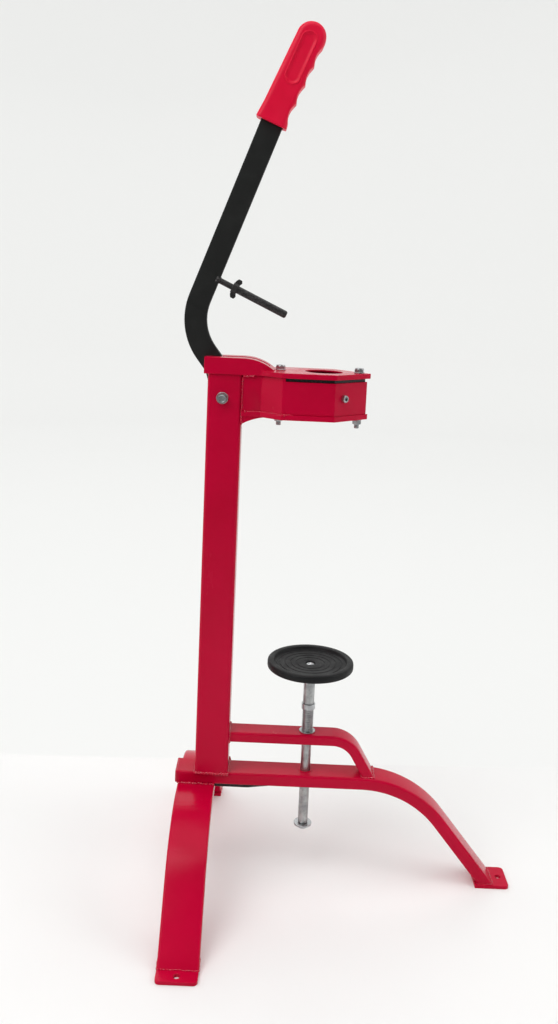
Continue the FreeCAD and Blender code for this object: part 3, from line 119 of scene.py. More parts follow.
def ramp(tree, source, low, high):
    """A grey that runs between two (place, value) pairs of a source."""
    made = tree.nodes.new("ShaderNodeValToRGB")
    for element, (place, grey) in zip(made.color_ramp.elements, (low, high)):
        element.position = place
        element.color = (grey, grey, grey, 1)
    tree.links.new(source, made.inputs["Fac"])
    return made.outputs["Color"]


def mask(tree, source, low, high):
    """Black up to low, white from high."""
    return ramp(tree, source, (low, 0.0), (high, 1.0))


def mix(tree, factor, low, high):
    """A mix of two colours, each given as a colour or as another node's output."""
    made = tree.nodes.new("ShaderNodeMix")
    made.data_type = "RGBA"
    tree.links.new(factor, made.inputs[0])
    for socket, value in ((made.inputs[6], low), (made.inputs[7], high)):
        if isinstance(value, tuple):
            socket.default_value = (*value, 1)
        else:
            tree.links.new(value, socket)
    return made.outputs[2]


def bumps(tree, shader, *layers):
    """Stacks bump layers of (height, strength, distance)."""
    last = None
    for height, strength, distance in layers:
        made = node(tree, "ShaderNodeBump", Strength=strength, Distance=distance)
        tree.links.new(height, made.inputs["Height"])
        if last:
            tree.links.new(last, made.inputs["Normal"])
        last = made.outputs["Normal"]
    tree.links.new(last, shader.inputs["Normal"])


def scaled(colour, factor):
    return tuple(part * factor for part in colour)


def enamel(name, colour, deep, rough, coat=0.0):
    """Gloss stoving paint: faint orange peel, cloudy depth, dull handling marks and a few dust nibs."""
    material, tree, shader = new_material(name)
    clouds = mask(tree, noise_map(tree, 9, 4, 0.6), 0.35, 0.7)
    nibs = mask(tree, noise_map(tree, 900, 1, 0.4), 0.79, 0.82)
    nib_colour = tuple(min(1, part * 1.3 + 0.02) for part in colour)
    painted = mix(tree, nibs, mix(tree, clouds, colour, deep), nib_colour)
    tree.links.new(painted, shader.inputs["Base Color"])
    marks = noise_map(tree, 38, 6, 0.7, (1, 1, 0.35))
    dulled = ramp(tree, marks, (0.38, rough[0]), (0.75, rough[1]))
    tree.links.new(dulled, shader.inputs["Roughness"])
    shader.inputs["Coat Weight"].default_value = coat
    shader.inputs["Coat Roughness"].default_value = 0.06
    shader.inputs["Specular IOR Level"].default_value = 0.12
    orange_peel = noise_map(tree, 230, 2)
    sag = noise_map(tree, 24, 3)
    bumps(tree, shader, (orange_peel, 0.07, 0.0004), (sag, 0.05, 0.002), (nibs, 0.2, 0.0003))
    return material


def steel(name, colour, dark, rough=(0.22, 0.42), stretch=(1, 1, 14), streak=300):
    """Plated steel or brass: turned or drawn streaks, cloudy passivation and small dark pits."""
    material, tree, shader = new_material(name)
    streaks = noise_map(tree, streak, 4, 0.6, stretch)
    clouds = mask(tree, noise_map(tree, 70, 5, 0.7), 0.4, 0.68)
    pits = mask(tree, noise_map(tree, 1400, 2, 0.5), 0.68, 0.74)
    plated = mix(tree, pits, mix(tree, clouds, colour, dark), scaled(dark, 0.3))
    tree.links.new(plated, shader.inputs["Base Color"])
    drawn = ramp(tree, streaks, (0.3, rough[0]), (0.7, rough[1]))
    tree.links.new(drawn, shader.inputs["Roughness"])
    shader.inputs["Metallic"].default_value = 1.0
    bumps(tree, shader, (streaks, 0.12, 0.0002), (pits, 0.15, 0.0002))
    return material


def satin_black(name, colour, worn, rough=(0.38, 0.56)):
    """Thin satin black over steel, rubbed a little grey on its edges, with dusty patches."""
    material, tree, shader = new_material(name)
    dust = mask(tree, noise_map(tree, 30, 6, 0.7), 0.45, 0.8)
    dusty = mix(tree, dust, colour, scaled(colour, 1.9))
    broken = noise_map(tree, 420, 4, 0.6)
    geometry = tree.nodes.new("ShaderNodeNewGeometry")
    edges = mask(tree, geometry.outputs["Pointiness"], 0.52, 0.6)
    rub = tree.nodes.new("ShaderNodeMath")
    rub.operation = "MULTIPLY"
    tree.links.new(edges, rub.inputs[0])
    tree.links.new(mask(tree, broken, 0.5, 0.62), rub.inputs[1])
    tree.links.new(mix(tree, rub.outputs[0], dusty, worn), shader.inputs["Base Color"])
    satin = ramp(tree, broken, (0.35, rough[0]), (0.7, rough[1]))
    tree.links.new(satin, shader.inputs["Roughness"])
    shader.inputs["Specular IOR Level"].default_value = 0.3
    bumps(tree, shader, (noise_map(tree, 650, 3), 0.16, 0.0003))
    return material


def moulded(name, colour, deep, grain=900, rough=(0.34, 0.5), depth=0.25):
    """Moulded plastic or rubber: fine spark-eroded grain, slight mottling and dull worn spots."""
    material, tree, shader = new_material(name)
    clouds = mask(tree, noise_map(tree, 26, 4, 0.6), 0.35, 0.75)
    tree.links.new(mix(tree, clouds, colour, deep), shader.inputs["Base Color"])
    worn = ramp(tree, noise_map(tree, 55, 5), (0.35, rough[0]), (0.7, rough[1]))
    tree.links.new(worn, shader.inputs["Roughness"])
    shader.inputs["Specular IOR Level"].default_value = 0.22
    bumps(tree, shader, (noise_map(tree, grain, 2), depth, 0.0003), (noise_map(tree, 40, 3), 0.08, 0.001))
    return material


red = enamel("crimson_enamel", (0.545, 0.0007, 0.035), (0.475, 0.0005, 0.027), (0.17, 0.3))
bead_red = enamel("crimson_on_weld", (0.56, 0.001, 0.036), (0.46, 0.0008, 0.026), (0.1, 0.22), coat=0.9)
# The black satin also serves as painted shade on the beam's stiffener, which sits in the shade under the beam.
black = satin_black("black_satin", (0.0075, 0.008, 0.0075), (0.07, 0.07, 0.075))
black_rod = satin_black("black_oiled_steel", (0.02, 0.019, 0.019), (0.16, 0.15, 0.15), rough=(0.26, 0.44))
grip_plastic = moulded("grip_raspberry", (0.78, 0.002, 0.042), (0.7, 0.0015, 0.034))
rubber = moulded("disc_black_rubber", (0.009, 0.009, 0.0095), (0.005, 0.005, 0.006),
                 grain=1300, rough=(0.45, 0.62), depth=0.35)
zinc = steel("zinc_plate", (0.5, 0.51, 0.52), (0.3, 0.31, 0.32), stretch=(1, 1, 10), streak=220)
zinc_rod = steel("zinc_drawn_rod", (0.46, 0.47, 0.47), (0.24, 0.245, 0.25),
                 rough=(0.26, 0.5), stretch=(6, 6, 0.6), streak=260)
spring_wire = steel("spring_wire", (0.46, 0.46, 0.47), (0.26, 0.26, 0.27), rough=(0.24, 0.4), streak=420)
brass = steel("machined_brass", (0.75, 0.52, 0.2), (0.55, 0.36, 0.13), rough=(0.22, 0.4), stretch=(1, 1, 12))
plate_black = satin_black("dark_plate", (0.01, 0.01, 0.011), (0.06, 0.06, 0.065))


# Mesh helpers

def paint(thing, material):
    thing.data.materials.clear()
    thing.data.materials.append(material)


def add_mesh(name, build, material, body, smooth=True):
    """A new object from a function that fills a bmesh. It rides on a body, where one is given."""
    mesh = bpy.data.meshes.new(name)
    bm = bmesh.new()
    build(bm)
    bmesh.ops.recalc_face_normals(bm, faces=bm.faces)
    bm.to_mesh(mesh)
    bm.free()
    thing = bpy.data.objects.new(name, mesh)
    bpy.context.scene.collection.objects.link(thing)
    for face in mesh.polygons:
        face.use_smooth = smooth
    mesh.materials.append(material)
    if body:
        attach(thing, body)
    return thing


def apply_modifiers(thing):
    """Keeps what the modifiers made as the object's own mesh."""
    graph = bpy.context.evaluated_depsgraph_get()
    mesh = bpy.data.meshes.new_from_object(thing.evaluated_get(graph))
    thing.modifiers.clear()
    thing.data = mesh


def copy_node(name, suffix):
    """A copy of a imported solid's mesh as a free object, with its flat faces whole again."""
    mesh = nodes[name].data.copy()
    bm = bmesh.new()
    bm.from_mesh(mesh)
    bmesh.ops.remove_doubles(bm, verts=bm.verts, dist=1e-6)
    bmesh.ops.dissolve_limit(bm, angle_limit=math.radians(0.6), verts=bm.verts, edges=bm.edges)
    bm.to_mesh(mesh)
    bm.free()
    thing = bpy.data.objects.new(name + suffix, mesh)
    bpy.context.scene.collection.objects.link(thing)
    return thing


def smooth_up_to(thing, degrees):
    thing.data.shade_smooth()
    thing.data.set_sharp_from_angle(angle=math.radians(degrees))


def stand_in(thing, name, material):
    """Lets a reworked copy take the place of its solid."""
    paint(thing, material)
    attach(thing, nodes[name]["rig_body"])
    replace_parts(thing, name)


def ease_edges(name, width, material):
    """Stands for a solid with its sharp edges rounded a little, as paint and tumbling leave them."""
    sharp = 32
    thing = copy_node(name, "_eased")
    bevel = thing.modifiers.new("bevel", "BEVEL")
    bevel.width = width
    bevel.segments = 2
    bevel.limit_method = "ANGLE"
    bevel.angle_limit = math.radians(sharp)
    bevel.use_clamp_overlap = True
    bevel.harden_normals = True
    smooth_up_to(thing, sharp)
    apply_modifiers(thing)
    stand_in(thing, name, material)


def soften(name, voxel, rounds, material):
    """Stands for a moulded or forged solid: its surface remeshed and relaxed, so that its edges round off."""
    thing = copy_node(name, "_soft")
    remesh = thing.modifiers.new("remesh", "REMESH")
    remesh.mode = "VOXEL"
    remesh.voxel_size = voxel
    relax = thing.modifiers.new("relax", "SMOOTH")
    relax.factor = 0.5
    relax.iterations = rounds
    apply_modifiers(thing)
    smooth_up_to(thing, 80)
    stand_in(thing, name, material)


def along(direction):
    """A turn that takes +Z to a direction."""
    return Vector(direction).to_track_quat("Z", "Y").to_matrix()


def circle(radius, height, sides):
    """Points round +Z at a height."""
    turns = [2 * math.pi * i / sides for i in range(sides)]
    return [Vector((radius * math.cos(turn), radius * math.sin(turn), height)) for turn in turns]


def placed(rows, centre, turn):
    return [[centre + turn @ point for point in row] for row in rows]


def skin(bm, rows, closed=False):
    """Faces between rows of points round a bar. Its ends are capped, or joined where it is closed."""
    rings = [[bm.verts.new(point) for point in row] for row in rows]
    pairs = list(zip(rings, rings[1:]))
    if closed:
        pairs.append((rings[-1], rings[0]))
    for low, high in pairs:
        for i in range(len(low)):
            j = (i + 1) % len(low)
            bm.faces.new([low[i], low[j], high[j], high[i]])
    if not closed:
        bm.faces.new(rings[0][::-1])
        bm.faces.new(rings[-1])


def lathe(bm, outline, centre, sides, turn=UP):
    """Turns (radius, height) points about the Z of a turn, through centre."""
    rings = []
    for radius, height in outline:
        row = circle(radius, height, sides if radius else 1)
        rings.append([bm.verts.new(centre + turn @ point) for point in row])
    for low, high in zip(rings, rings[1:]):
        for i in range(sides):
            j = (i + 1) % sides
            corners = [low[i % len(low)], low[j % len(low)], high[j % len(high)], high[i % len(high)]]
            unique = list(dict.fromkeys(corners))
            if len(unique) > 2:
                bm.faces.new(unique)


def tube(bm, path, radius, sides, closed=False, lumps=0.0):
    """A round bar along points. Lumps make the scales of a weld bead."""
    scale_pitch = 0.0034
    rows = []
    side = None
    length = 0
    last = len(path) - 1
    for i, point in enumerate(path):
        before = path[i - 1] if closed or i else point
        after = path[(i + 1) % len(path)] if closed or i < last else point
        heading = (after - before).normalized()
        if side is None:
            side = heading.orthogonal().normalized()
        side = (side - heading * side.dot(heading)).normalized()
        up = heading.cross(side)
        if i:
            length += (point - path[i - 1]).length
        swell = 1.0
        if lumps:
            swell += lumps * (abs(math.sin(math.pi * length / scale_pitch)) - 0.5)
            swell += lumps * 0.8 * noise.noise(point * 900)
            if not closed and i in (0, last):
                swell *= 0.55
        row = []
        for k in range(sides):
            turn = 2 * math.pi * k / sides
            row.append(point + (side * math.cos(turn) + up * math.sin(turn)) * radius * swell)
        rows.append(row)
    skin(bm, rows, closed)


def spaced(points, step, closed=False):
    """Points at an even spacing along straight runs."""
    ends = points + points[:1] if closed else points
    out = []
    for start, end in zip(ends, ends[1:]):
        parts = max(1, round((end - start).length / step))
        out += [start.lerp(end, i / parts) for i in range(parts)]
    return out if closed else out + [ends[-1]]


def helix(radius, length, turns, steps):
    """Points of a coil along +Z from 0 to its length. Nearly a turn lies closed at each end."""
    closed_turns = 0.9
    points = []
    count = int(turns * steps)
    for i in range(count + 1):
        turn = turns * i / count
        share = min(max((turn - closed_turns) / (turns - 2 * closed_turns), 0), 1)
        angle = 2 * math.pi * turn
        points.append(Vector((radius * math.cos(angle), radius * math.sin(angle), length * share)))
    return points


# Stand, housing and bars: the solids with eased edges

PAINTED_EDGES = {
    "column": 0.0005, "front_leg": 0.0014, "rear_legs": 0.0018, "bridge_bar": 0.0014, "front_foot": 0.0009,
    "left_foot": 0.0009, "right_foot": 0.0009, "beam_end_plate": 0.0007, "head_box": 0.0009,
    "head_bottom_plate": 0.0011, "head_top_cover": 0.001, "lower_bush": 0.0004,
}
FINE_EDGE = 0.0004
FINE_EDGED = {
    "cork_guide_plate": (plate_black, "dark_plate"), "upper_bush": (zinc, "zinc"),
    # The beam_stiffener takes the black satin as painted shade: the strip lies in the shade under the beam,
    # and its black stands for that shade.
    "beam_stiffener": (black, "black_steel"), "pivot_spacers": (zinc, "zinc"), "jaw_fixed": (brass, "brass"),
    "jaw_front": (brass, "brass"), "jaw_rear": (brass, "brass"), "pusher": (brass, "brass"),
    "lever_bar": (black, "black_steel"), "lever_cam": (black, "black_steel"),
    "plunger_rod": (black_rod, "black_steel"), "rod_sleeve": (zinc_rod, "zinc"),
    "platform_rod": (zinc_rod, "zinc"), "spring_collar": (zinc, "zinc"), "end_washer": (zinc, "zinc"),
}
SLOT_MATERIALS = {
    "red": red, "zinc": zinc, "black_steel": black, "rubber": rubber, "spring_steel": spring_wire,
    "brass": brass, "dark_plate": plate_black, "grip": grip_plastic,
}


def add_eased_solids():
    for name, width in PAINTED_EDGES.items():
        ease_edges(name, width, red)
    for name, (material, slot) in FINE_EDGED.items():
        ease_edges(name, FINE_EDGE, material)


def paint_solids():
    for subpart in frame["record"]["subparts"]:
        paint(nodes[subpart["node"]], SLOT_MATERIALS[subpart["material_slot"]])


# Weld beads

def wander(point):
    """A small step aside that changes smoothly along a bead."""
    shifts = ((9.3, 1.5, 7.9), (-4.1, 12.7, 3.3), (6.2, -8.4, 15.6))
    return Vector([noise.noise(point * 160 + Vector(shift)) for shift in shifts]) * 0.0005


def weld(name, points, radius, closed=False):
    """A painted weld bead that follows a joint, slightly uneven by hand."""
    path = spaced([Vector(point) for point in points], 0.00055, closed)
    path = [point + wander(point) for point in path]
    add_mesh(name, lambda bm: tube(bm, path, radius, 10, closed, 0.5), bead_red, "stand")


def rectangle(x0, x1, y0, y1, z):
    return [(x0, y0, z), (x1, y0, z), (x1, y1, z), (x0, y1, z)]


def across(x, corners):
    """Points in the plane at x from (y, z) pairs."""
    return [(x, y, z) for y, z in corners]


def add_side_welds(side, name):
    """The beads that the near and the far side have alike."""
    leg_joint = [(LEGS_X - 0.0225, side * 0.0176, BEAM_UNDER), (LEGS_X + 0.0225, side * 0.0176, BEAM_UNDER)]
    weld("weld_beam_legs_" + name, leg_joint, 0.0018)
    corner = side * 0.0201
    neck = across(COLUMN_FRONT + 0.0002, [(corner, BOTTOM_PLATE_TOP), (corner, 0.617)])
    weld("weld_neck_" + name, neck, 0.0008)
    gusset = across(COLUMN_FRONT + 0.0002, [(corner, 0.5635), (corner, BOTTOM_PLATE_TOP)])
    weld("weld_gusset_" + name, gusset, 0.0009)
    seam = [(COLUMN_FRONT + 0.003, side * 0.0203), (BOTTLE_X - 0.0725, side * 0.0203),
            (BOTTLE_X - 0.0485, side * 0.0392), (BOTTLE_X - 0.036, side * 0.0392)]
    weld("weld_seam_" + name, [(x, y, BOTTOM_PLATE_TOP) for x, y in seam], 0.0008)
    hood = [(COLUMN_FRONT + 0.0005, side * 0.0211, 0.6188), (COLUMN_FRONT + 0.0145, side * 0.0211, 0.6188)]
    weld("weld_hood_" + name, hood, 0.0013)
    low, high = sorted((side * 0.1713, side * 0.1903))
    weld("weld_foot_" + name, rectangle(LEGS_X - 0.0225, LEGS_X + 0.0225, low, high, 0.0041), 0.0008, True)
    face = side * 0.0111
    stiffener = [(BOTTLE_X - 0.108, face, BEAM_UNDER), (BOTTLE_X - 0.034, face, BEAM_UNDER)]
    weld("weld_stiffener_" + name, stiffener, 0.0009)


def add_weld_drops():
    """The round drops that stand out of three beads on the near side."""
    drops = (
        (Vector((LEGS_X - 0.003, -0.0185, BEAM_UNDER)), 0.0024),
        (Vector((BOTTLE_X - 0.0455, -0.0405, BOTTOM_PLATE_TOP)), 0.0016),
        (Vector((COLUMN_FRONT + 0.004, -0.021, BOTTOM_PLATE_TOP)), 0.0013),
    )
    outward = along((0, -1, 0.2))
    for i, (place, size) in enumerate(drops):
        drop = [(0, -size * 0.6), (size * 0.8, -size * 0.5), (size, 0), (size * 0.75, size * 0.5),
                (0, size * 0.75)]
        add_mesh("weld_drop_%d" % i, lambda bm: lathe(bm, drop, place, 20, outward), bead_red, "stand")


def add_welds():
    around_column = rectangle(COLUMN_X - 0.0201, COLUMN_X + 0.0201, -0.0201, 0.0201, BEAM_TOP + 0.0002)
    weld("weld_column_base", around_column, 0.0017, True)
    bridge_end = [(-0.0141, 0.1721), (0.0141, 0.1721), (0.0141, 0.185), (-0.0141, 0.185)]
    weld("weld_bridge_column", across(COLUMN_FRONT + 0.0002, bridge_end), 0.0013, True)
    bridge_foot = rectangle(BOTTLE_X + 0.0686, BOTTLE_X + 0.0834, -0.0141, 0.0141, BEAM_TOP + 0.0001)
    weld("weld_bridge_beam", bridge_foot, 0.0012, True)
    add_side_welds(-1, "near")
    add_side_welds(1, "far")
    add_weld_drops()
    weld("weld_gusset_foot", across(COLUMN_FRONT + 0.0003, [(-0.0185, 0.5625), (0.0185, 0.5625)]), 0.0011)
    weld("weld_leg_rear", across(LEGS_X - 0.0226, [(-0.0165, BEAM_UNDER), (0.0165, BEAM_UNDER)]), 0.0011)
    around_front_leg = rectangle(BOTTLE_X + 0.2173, BOTTLE_X + 0.2366, -0.0176, 0.0176, 0.0041)
    weld("weld_front_foot", around_front_leg, 0.0008, True)
    end_plate = [(-0.0172, 0.1215), (-0.0172, 0.1325), (-0.0155, 0.1342),
                 (0.0155, 0.1342), (0.0172, 0.1325), (0.0172, 0.1215)]
    weld("weld_end_plate", across(BOTTLE_X - 0.1561, end_plate), 0.0006)


# Fasteners

HEX_SIDES = 36
CHAMFER_SHARE = 0.985


def hexagon(flat, height, droop):
    """Points round a hexagon. Its corners hang lower by droop, where the turned chamfer cuts them."""
    corner = flat / math.cos(math.radians(30))
    points = []
    for i in range(HEX_SIDES):
        angle = 2 * math.pi * i / HEX_SIDES
        reach = flat / math.cos(angle % math.radians(60) - math.radians(30))
        drop = droop * (reach - flat) / (corner - flat)
        points.append(Vector((reach * math.cos(angle), reach * math.sin(angle), height - drop)))
    return points


def hex_head(bm, centre, flat, height, turn):
    """A bolt's head: a hexagon with a turned chamfer and a shallow dished top."""
    rows = [hexagon(flat, 0, 0), hexagon(flat, height * 0.72, height * 0.1)]
    for share, level in ((CHAMFER_SHARE, height), (0.72, height), (0.6, height - 0.00025)):
        rows.append(circle(flat * share, level, HEX_SIDES))
    skin(bm, placed(rows, centre, turn))


def hex_nut(bm, centre, flat, height, turn):
    """A nut: a hexagon with a turned chamfer on both sides."""
    rows = [
        circle(flat * CHAMFER_SHARE, 0, HEX_SIDES),
        hexagon(flat, height * 0.14, -height * 0.1),
        hexagon(flat, height * 0.86, height * 0.1),
        circle(flat * CHAMFER_SHARE, height, HEX_SIDES),
    ]
    skin(bm, placed(rows, centre, turn))


def thread(bm, start, direction, length, radius, pitch=0.001, depth=0.00032, taper=True):
    """A threaded shank: helical ridges on a core, drawn in over its last rows where it tapers."""
    sides = 30
    count = max(4, int(length / pitch * 8))
    rows = []
    for k in range(count + 1):
        height = length * k / count
        row = []
        for i in range(sides):
            phase = (height / pitch - i / sides) % 1.0
            ridge = 1 - abs(2 * phase - 1)
            reach = radius - depth + depth * min(1, ridge * 1.25)
            if taper and k >= count - 3:
                reach = min(reach, radius - depth * (k - count + 4) * 0.55)
            angle = 2 * math.pi * i / sides
            row.append(Vector((reach * math.cos(angle), reach * math.sin(angle), height)))
        rows.append(row)
    skin(bm, placed(rows, Vector(start), along(direction)))


def pin(bm, radius, low, high, centre, sides, turn=UP):
    lathe(bm, [(0, low), (radius, low), (radius, high), (0, high)], centre, sides, turn)


def washer(bm, centre, radius, bore, thick, turn):
    """A flat ring with its outer edges rounded by punching."""
    ease = thick * 0.25
    outline = [(bore, 0), (radius - ease, 0), (radius, ease), (radius, thick - ease), (radius - ease, thick),
               (bore, thick), (bore, 0)]
    lathe(bm, outline, centre, 40, turn)


def add_housing_bolts():
    """Two bolts with washers and nuts hold the cover, the box and the bottom plate together."""
    places = (BOTTLE_X - 0.0515, BOTTLE_X + 0.0399)
    thick = 0.0012
    head_seat = COVER_TOP + thick
    nut_under = BOTTOM_PLATE_UNDER - 0.0062

    def bolts(bm):
        for i, x in enumerate(places):
            hex_head(bm, Vector((x, 0, head_seat)), 0.005, 0.0046, Matrix.Rotation(0.3 + i, 3, "Z"))
            thread(bm, (x, 0, BOTTOM_PLATE_UNDER - 0.0055), (0, 0, -1), 0.0057, 0.003)
            pin(bm, 0.0029, BOTTOM_PLATE_UNDER - 0.006, COVER_TOP + 0.0013, Vector((x, 0, 0)), 24)

    def washers(bm):
        for x in places:
            washer(bm, Vector((x, 0, COVER_TOP)), 0.006, 0.0032, thick, UP)
            washer(bm, Vector((x, 0, BOTTOM_PLATE_UNDER - thick)), 0.006, 0.0032, thick, UP)

    def nuts(bm):
        for i, x in enumerate(places):
            hex_nut(bm, Vector((x, 0, nut_under)), 0.005, 0.005, Matrix.Rotation(0.5 + i, 3, "Z"))

    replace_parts(add_mesh("head_bolts_fine", bolts, zinc, "stand", False), "head_bolts")
    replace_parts(add_mesh("head_washers_fine", washers, zinc, "stand", False), "head_washers")
    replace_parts(add_mesh("head_nuts_fine", nuts, zinc, "stand", False), "head_nuts")


def add_pivot_bolt():
    """The lever's bolt, with its head on the near side and its nut on the far side."""
    column_side = 0.02
    thick = 0.0014
    flat = 0.0057

    def place(y):
        return PIVOT + Vector((0, y, 0))

    def bolt(bm):
        hex_head(bm, place(-column_side - thick), flat, 0.0053, TO_NEAR @ Matrix.Rotation(0.4, 3, "Z"))
        pin(bm, 0.004, -0.0215, 0.028, PIVOT, 32, TO_FAR)
        thread(bm, place(0.0275), (0, 1, 0), 0.0024, 0.004)

    def washers(bm):
        washer(bm, place(-column_side), 0.0069, 0.0042, thick, TO_NEAR)
        washer(bm, place(column_side), 0.0069, 0.0042, thick, TO_FAR)

    def nut(bm):
        hex_nut(bm, place(column_side + thick), flat, 0.0065, TO_FAR)

    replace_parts(add_mesh("pivot_bolt_fine", bolt, zinc, "stand", False), "pivot_bolt")
    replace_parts(add_mesh("pivot_washers_fine", washers, zinc, "stand", False), "pivot_washers")
    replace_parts(add_mesh("pivot_nut_fine", nut, zinc, "stand", False), "pivot_nut")


def add_end_screw():
    """The screw under the platform's rod."""
    def head(bm):
        hex_head(bm, Vector((BOTTLE_X, 0, 0.0635)), 0.005, 0.0046, DOWN)

    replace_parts(add_mesh("end_screw_fine", head, zinc, "platform_body", False), "end_screw")


def add_jaw_screw():
    """The socket screw in the housing's slanted face, which sets the fixed jaw."""
    outward = Vector((1, -1, 0)).normalized()
    aside = Vector((1, 1, 0)).normalized()
    seat = Vector((BOTTLE_X, 0, 0.598)) + outward * (0.05 / math.sqrt(2)) - aside * 0.0046
    turn = along(outward)
    key = 0.0023
    rim = 0.0039
    key_floor = 0.0019

    def screw(bm):
        outline = [(0, -0.0185), (0.002, -0.0185), (0.002, 0), (0.0039, 0), (0.0042, 0.0003),
                   (0.0042, 0.0034), (0.0037, 0.004), (0.0024, 0.004), (key, rim)]
        lathe(bm, outline, seat, 36, turn)
        points = circle(key, rim, 6) + circle(key, key_floor, 6)
        corners = [bm.verts.new(seat + turn @ point) for point in points]
        for i in range(6):
            j = (i + 1) % 6
            bm.faces.new([corners[i], corners[j], corners[6 + j], corners[6 + i]])
        bm.faces.new(corners[6:])

    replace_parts(add_mesh("jaw_screw_fine", screw, zinc, "stand", False), "jaw_screw")


# Springs

def add_platform_spring():
    low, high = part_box("platform_spring")
    wire = 0.0004
    start = Vector((BOTTLE_X, 0, low.z + wire))
    path = [start + point for point in helix(0.00655, high.z - low.z - 2 * wire, 11, 26)]
    coil = add_mesh("platform_spring_coil", lambda bm: tube(bm, path, wire, 9),
                    spring_wire, None)
    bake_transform(coil)
    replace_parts(coil, "platform_spring")


def add_return_spring():
    low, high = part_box("return_spring")
    middle = (low + high) / 2
    wire = 0.00045
    coil_points = helix(0.00225, high.x - low.x - 2 * wire, 12, 18)
    path = [Vector((low.x + wire + point.z, middle.y + point.x, middle.z + point.y)) for point in coil_points]
    coil = add_mesh("return_spring_coil", lambda bm: tube(bm, path, wire, 7),
                    spring_wire, None)
    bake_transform(coil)
    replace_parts(coil, "return_spring")


# Bottle platform

def add_platform():
    """The moulded disc with its rim, shallow grooves, ribs below and the screw in its middle."""
    top = 0.2755
    floor = 0.2715
    under = 0.2665
    pit = floor - 0.0024
    centre = Vector((BOTTLE_X, 0, 0))
    outline = [(0, 0.2655), (0.006, 0.2655), (0.006, 0.2597), (0.0062, 0.2595), (0.0124, 0.2595),
               (0.013, 0.2601), (0.013, under - 0.0008), (0.0138, under)]
    outline += [(0.0495, under), (0.0508, under + 0.0003), (0.0517, under + 0.0011), (0.052, under + 0.0024)]
    outline += [(0.052, top - 0.0026), (0.0517, top - 0.0012), (0.0508, top - 0.0003), (0.0496, top)]
    outline += [(0.0452, top), (0.0443, top - 0.0004), (0.0438, top - 0.0013), (0.0435, floor + 0.0006),
                (0.0429, floor)]
    for radius in (0.038, 0.031, 0.024, 0.017):
        outline += [(radius + 0.0011, floor), (radius + 0.0007, floor - 0.0005),
                    (radius - 0.0007, floor - 0.0005), (radius - 0.0011, floor)]
    outline += [(0.0061, floor), (0.0059, floor - 0.0002), (0.0059, pit), (0, pit)]
    disc = add_mesh("platform_moulded", lambda bm: lathe(bm, outline, centre, 128),
                    rubber, "platform_body")
    disc.data.set_sharp_from_angle(angle=math.radians(50))
    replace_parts(disc, "platform")

    def ribs(bm):
        for i in range(8):
            angle = math.pi * i / 4 + 0.2
            outward = Vector((math.cos(angle), math.sin(angle), 0))
            side = Vector((-outward.y, outward.x, 0)) * 0.0013
            inner = centre + outward * 0.0128 + side
            outer = centre + outward * 0.0485 + side
            points = [inner + Vector((0, 0, under - 0.0052)), outer + Vector((0, 0, under - 0.0006)),
                      outer + Vector((0, 0, under + 0.001)), inner + Vector((0, 0, under + 0.001))]
            front = [bm.verts.new(point) for point in points]
            back = [bm.verts.new(point - side * 2) for point in points]
            bm.faces.new(front)
            bm.faces.new(back[::-1])
            for k in range(4):
                bm.faces.new([front[k], back[k], back[(k + 1) % 4], front[(k + 1) % 4]])

    add_mesh("platform_ribs", ribs, rubber, "platform_body", False)

    def screw(bm):
        outline = [(0, 0), (0.0057, 0), (0.0056, 0.0005), (0.0047, 0.0014), (0.003, 0.0018), (0.0021, 0.0018),
                   (0.0021, 0.0006), (0, 0.0006)]
        lathe(bm, outline, Vector((BOTTLE_X, 0, pit)), 40)

    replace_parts(add_mesh("platform_screw_fine", screw, zinc, "platform_body"), "platform_screw")


# Grip, plunger and wing nut

LEVER_LEAN = math.radians(37.5)
LEVER_BEND = math.radians(58.1)
LEVER_BEND_RADIUS = 0.065
LEVER_SWING = math.radians(65)
BAR_TILT = LEVER_BEND - LEVER_LEAN
GRIP_TILT = BAR_TILT + math.radians(2)


def lever_place(forward, rise):
    """A step in the frame of the lever's root, which leans back over the column."""
    return Vector((forward * math.cos(LEVER_LEAN) - rise * math.sin(LEVER_LEAN), 0,
                   forward * math.sin(LEVER_LEAN) + rise * math.cos(LEVER_LEAN)))


def add_grip():
    """The moulded grip, with a raised rim round the long recess on each side."""
    soften("grip", 0.0009, 7, grip_plastic)
    root = PIVOT + lever_place(0.0134, 0.0354)
    knee = root + lever_place(LEVER_BEND_RADIUS * (1 - math.cos(LEVER_BEND)),
                              0.0172 + LEVER_BEND_RADIUS * math.sin(LEVER_BEND))
    mouth = knee + Vector((math.sin(BAR_TILT), 0, math.cos(BAR_TILT))) * 0.211
    up = Vector((math.sin(GRIP_TILT), 0, math.cos(GRIP_TILT)))
    forward = Vector((math.cos(GRIP_TILT), 0, -math.sin(GRIP_TILT)))
    recess = 0.0086
    low = 0.055
    high = 0.098
    for side, name in ((-1, "near"), (1, "far")):
        face = mouth + Vector((0, side * 0.0118, 0))
        path = []
        for middle, start in ((high, 0), (low, math.pi)):
            for i in range(20):
                angle = start + math.pi * i / 19
                rise = middle + recess * math.sin(angle)
                path.append(face + up * rise + forward * recess * math.cos(angle))
        path = spaced(path, 0.0012, True)
        add_mesh("grip_rim_" + name, lambda bm: tube(bm, path, 0.0009, 10, True),
                 grip_plastic, "lever")


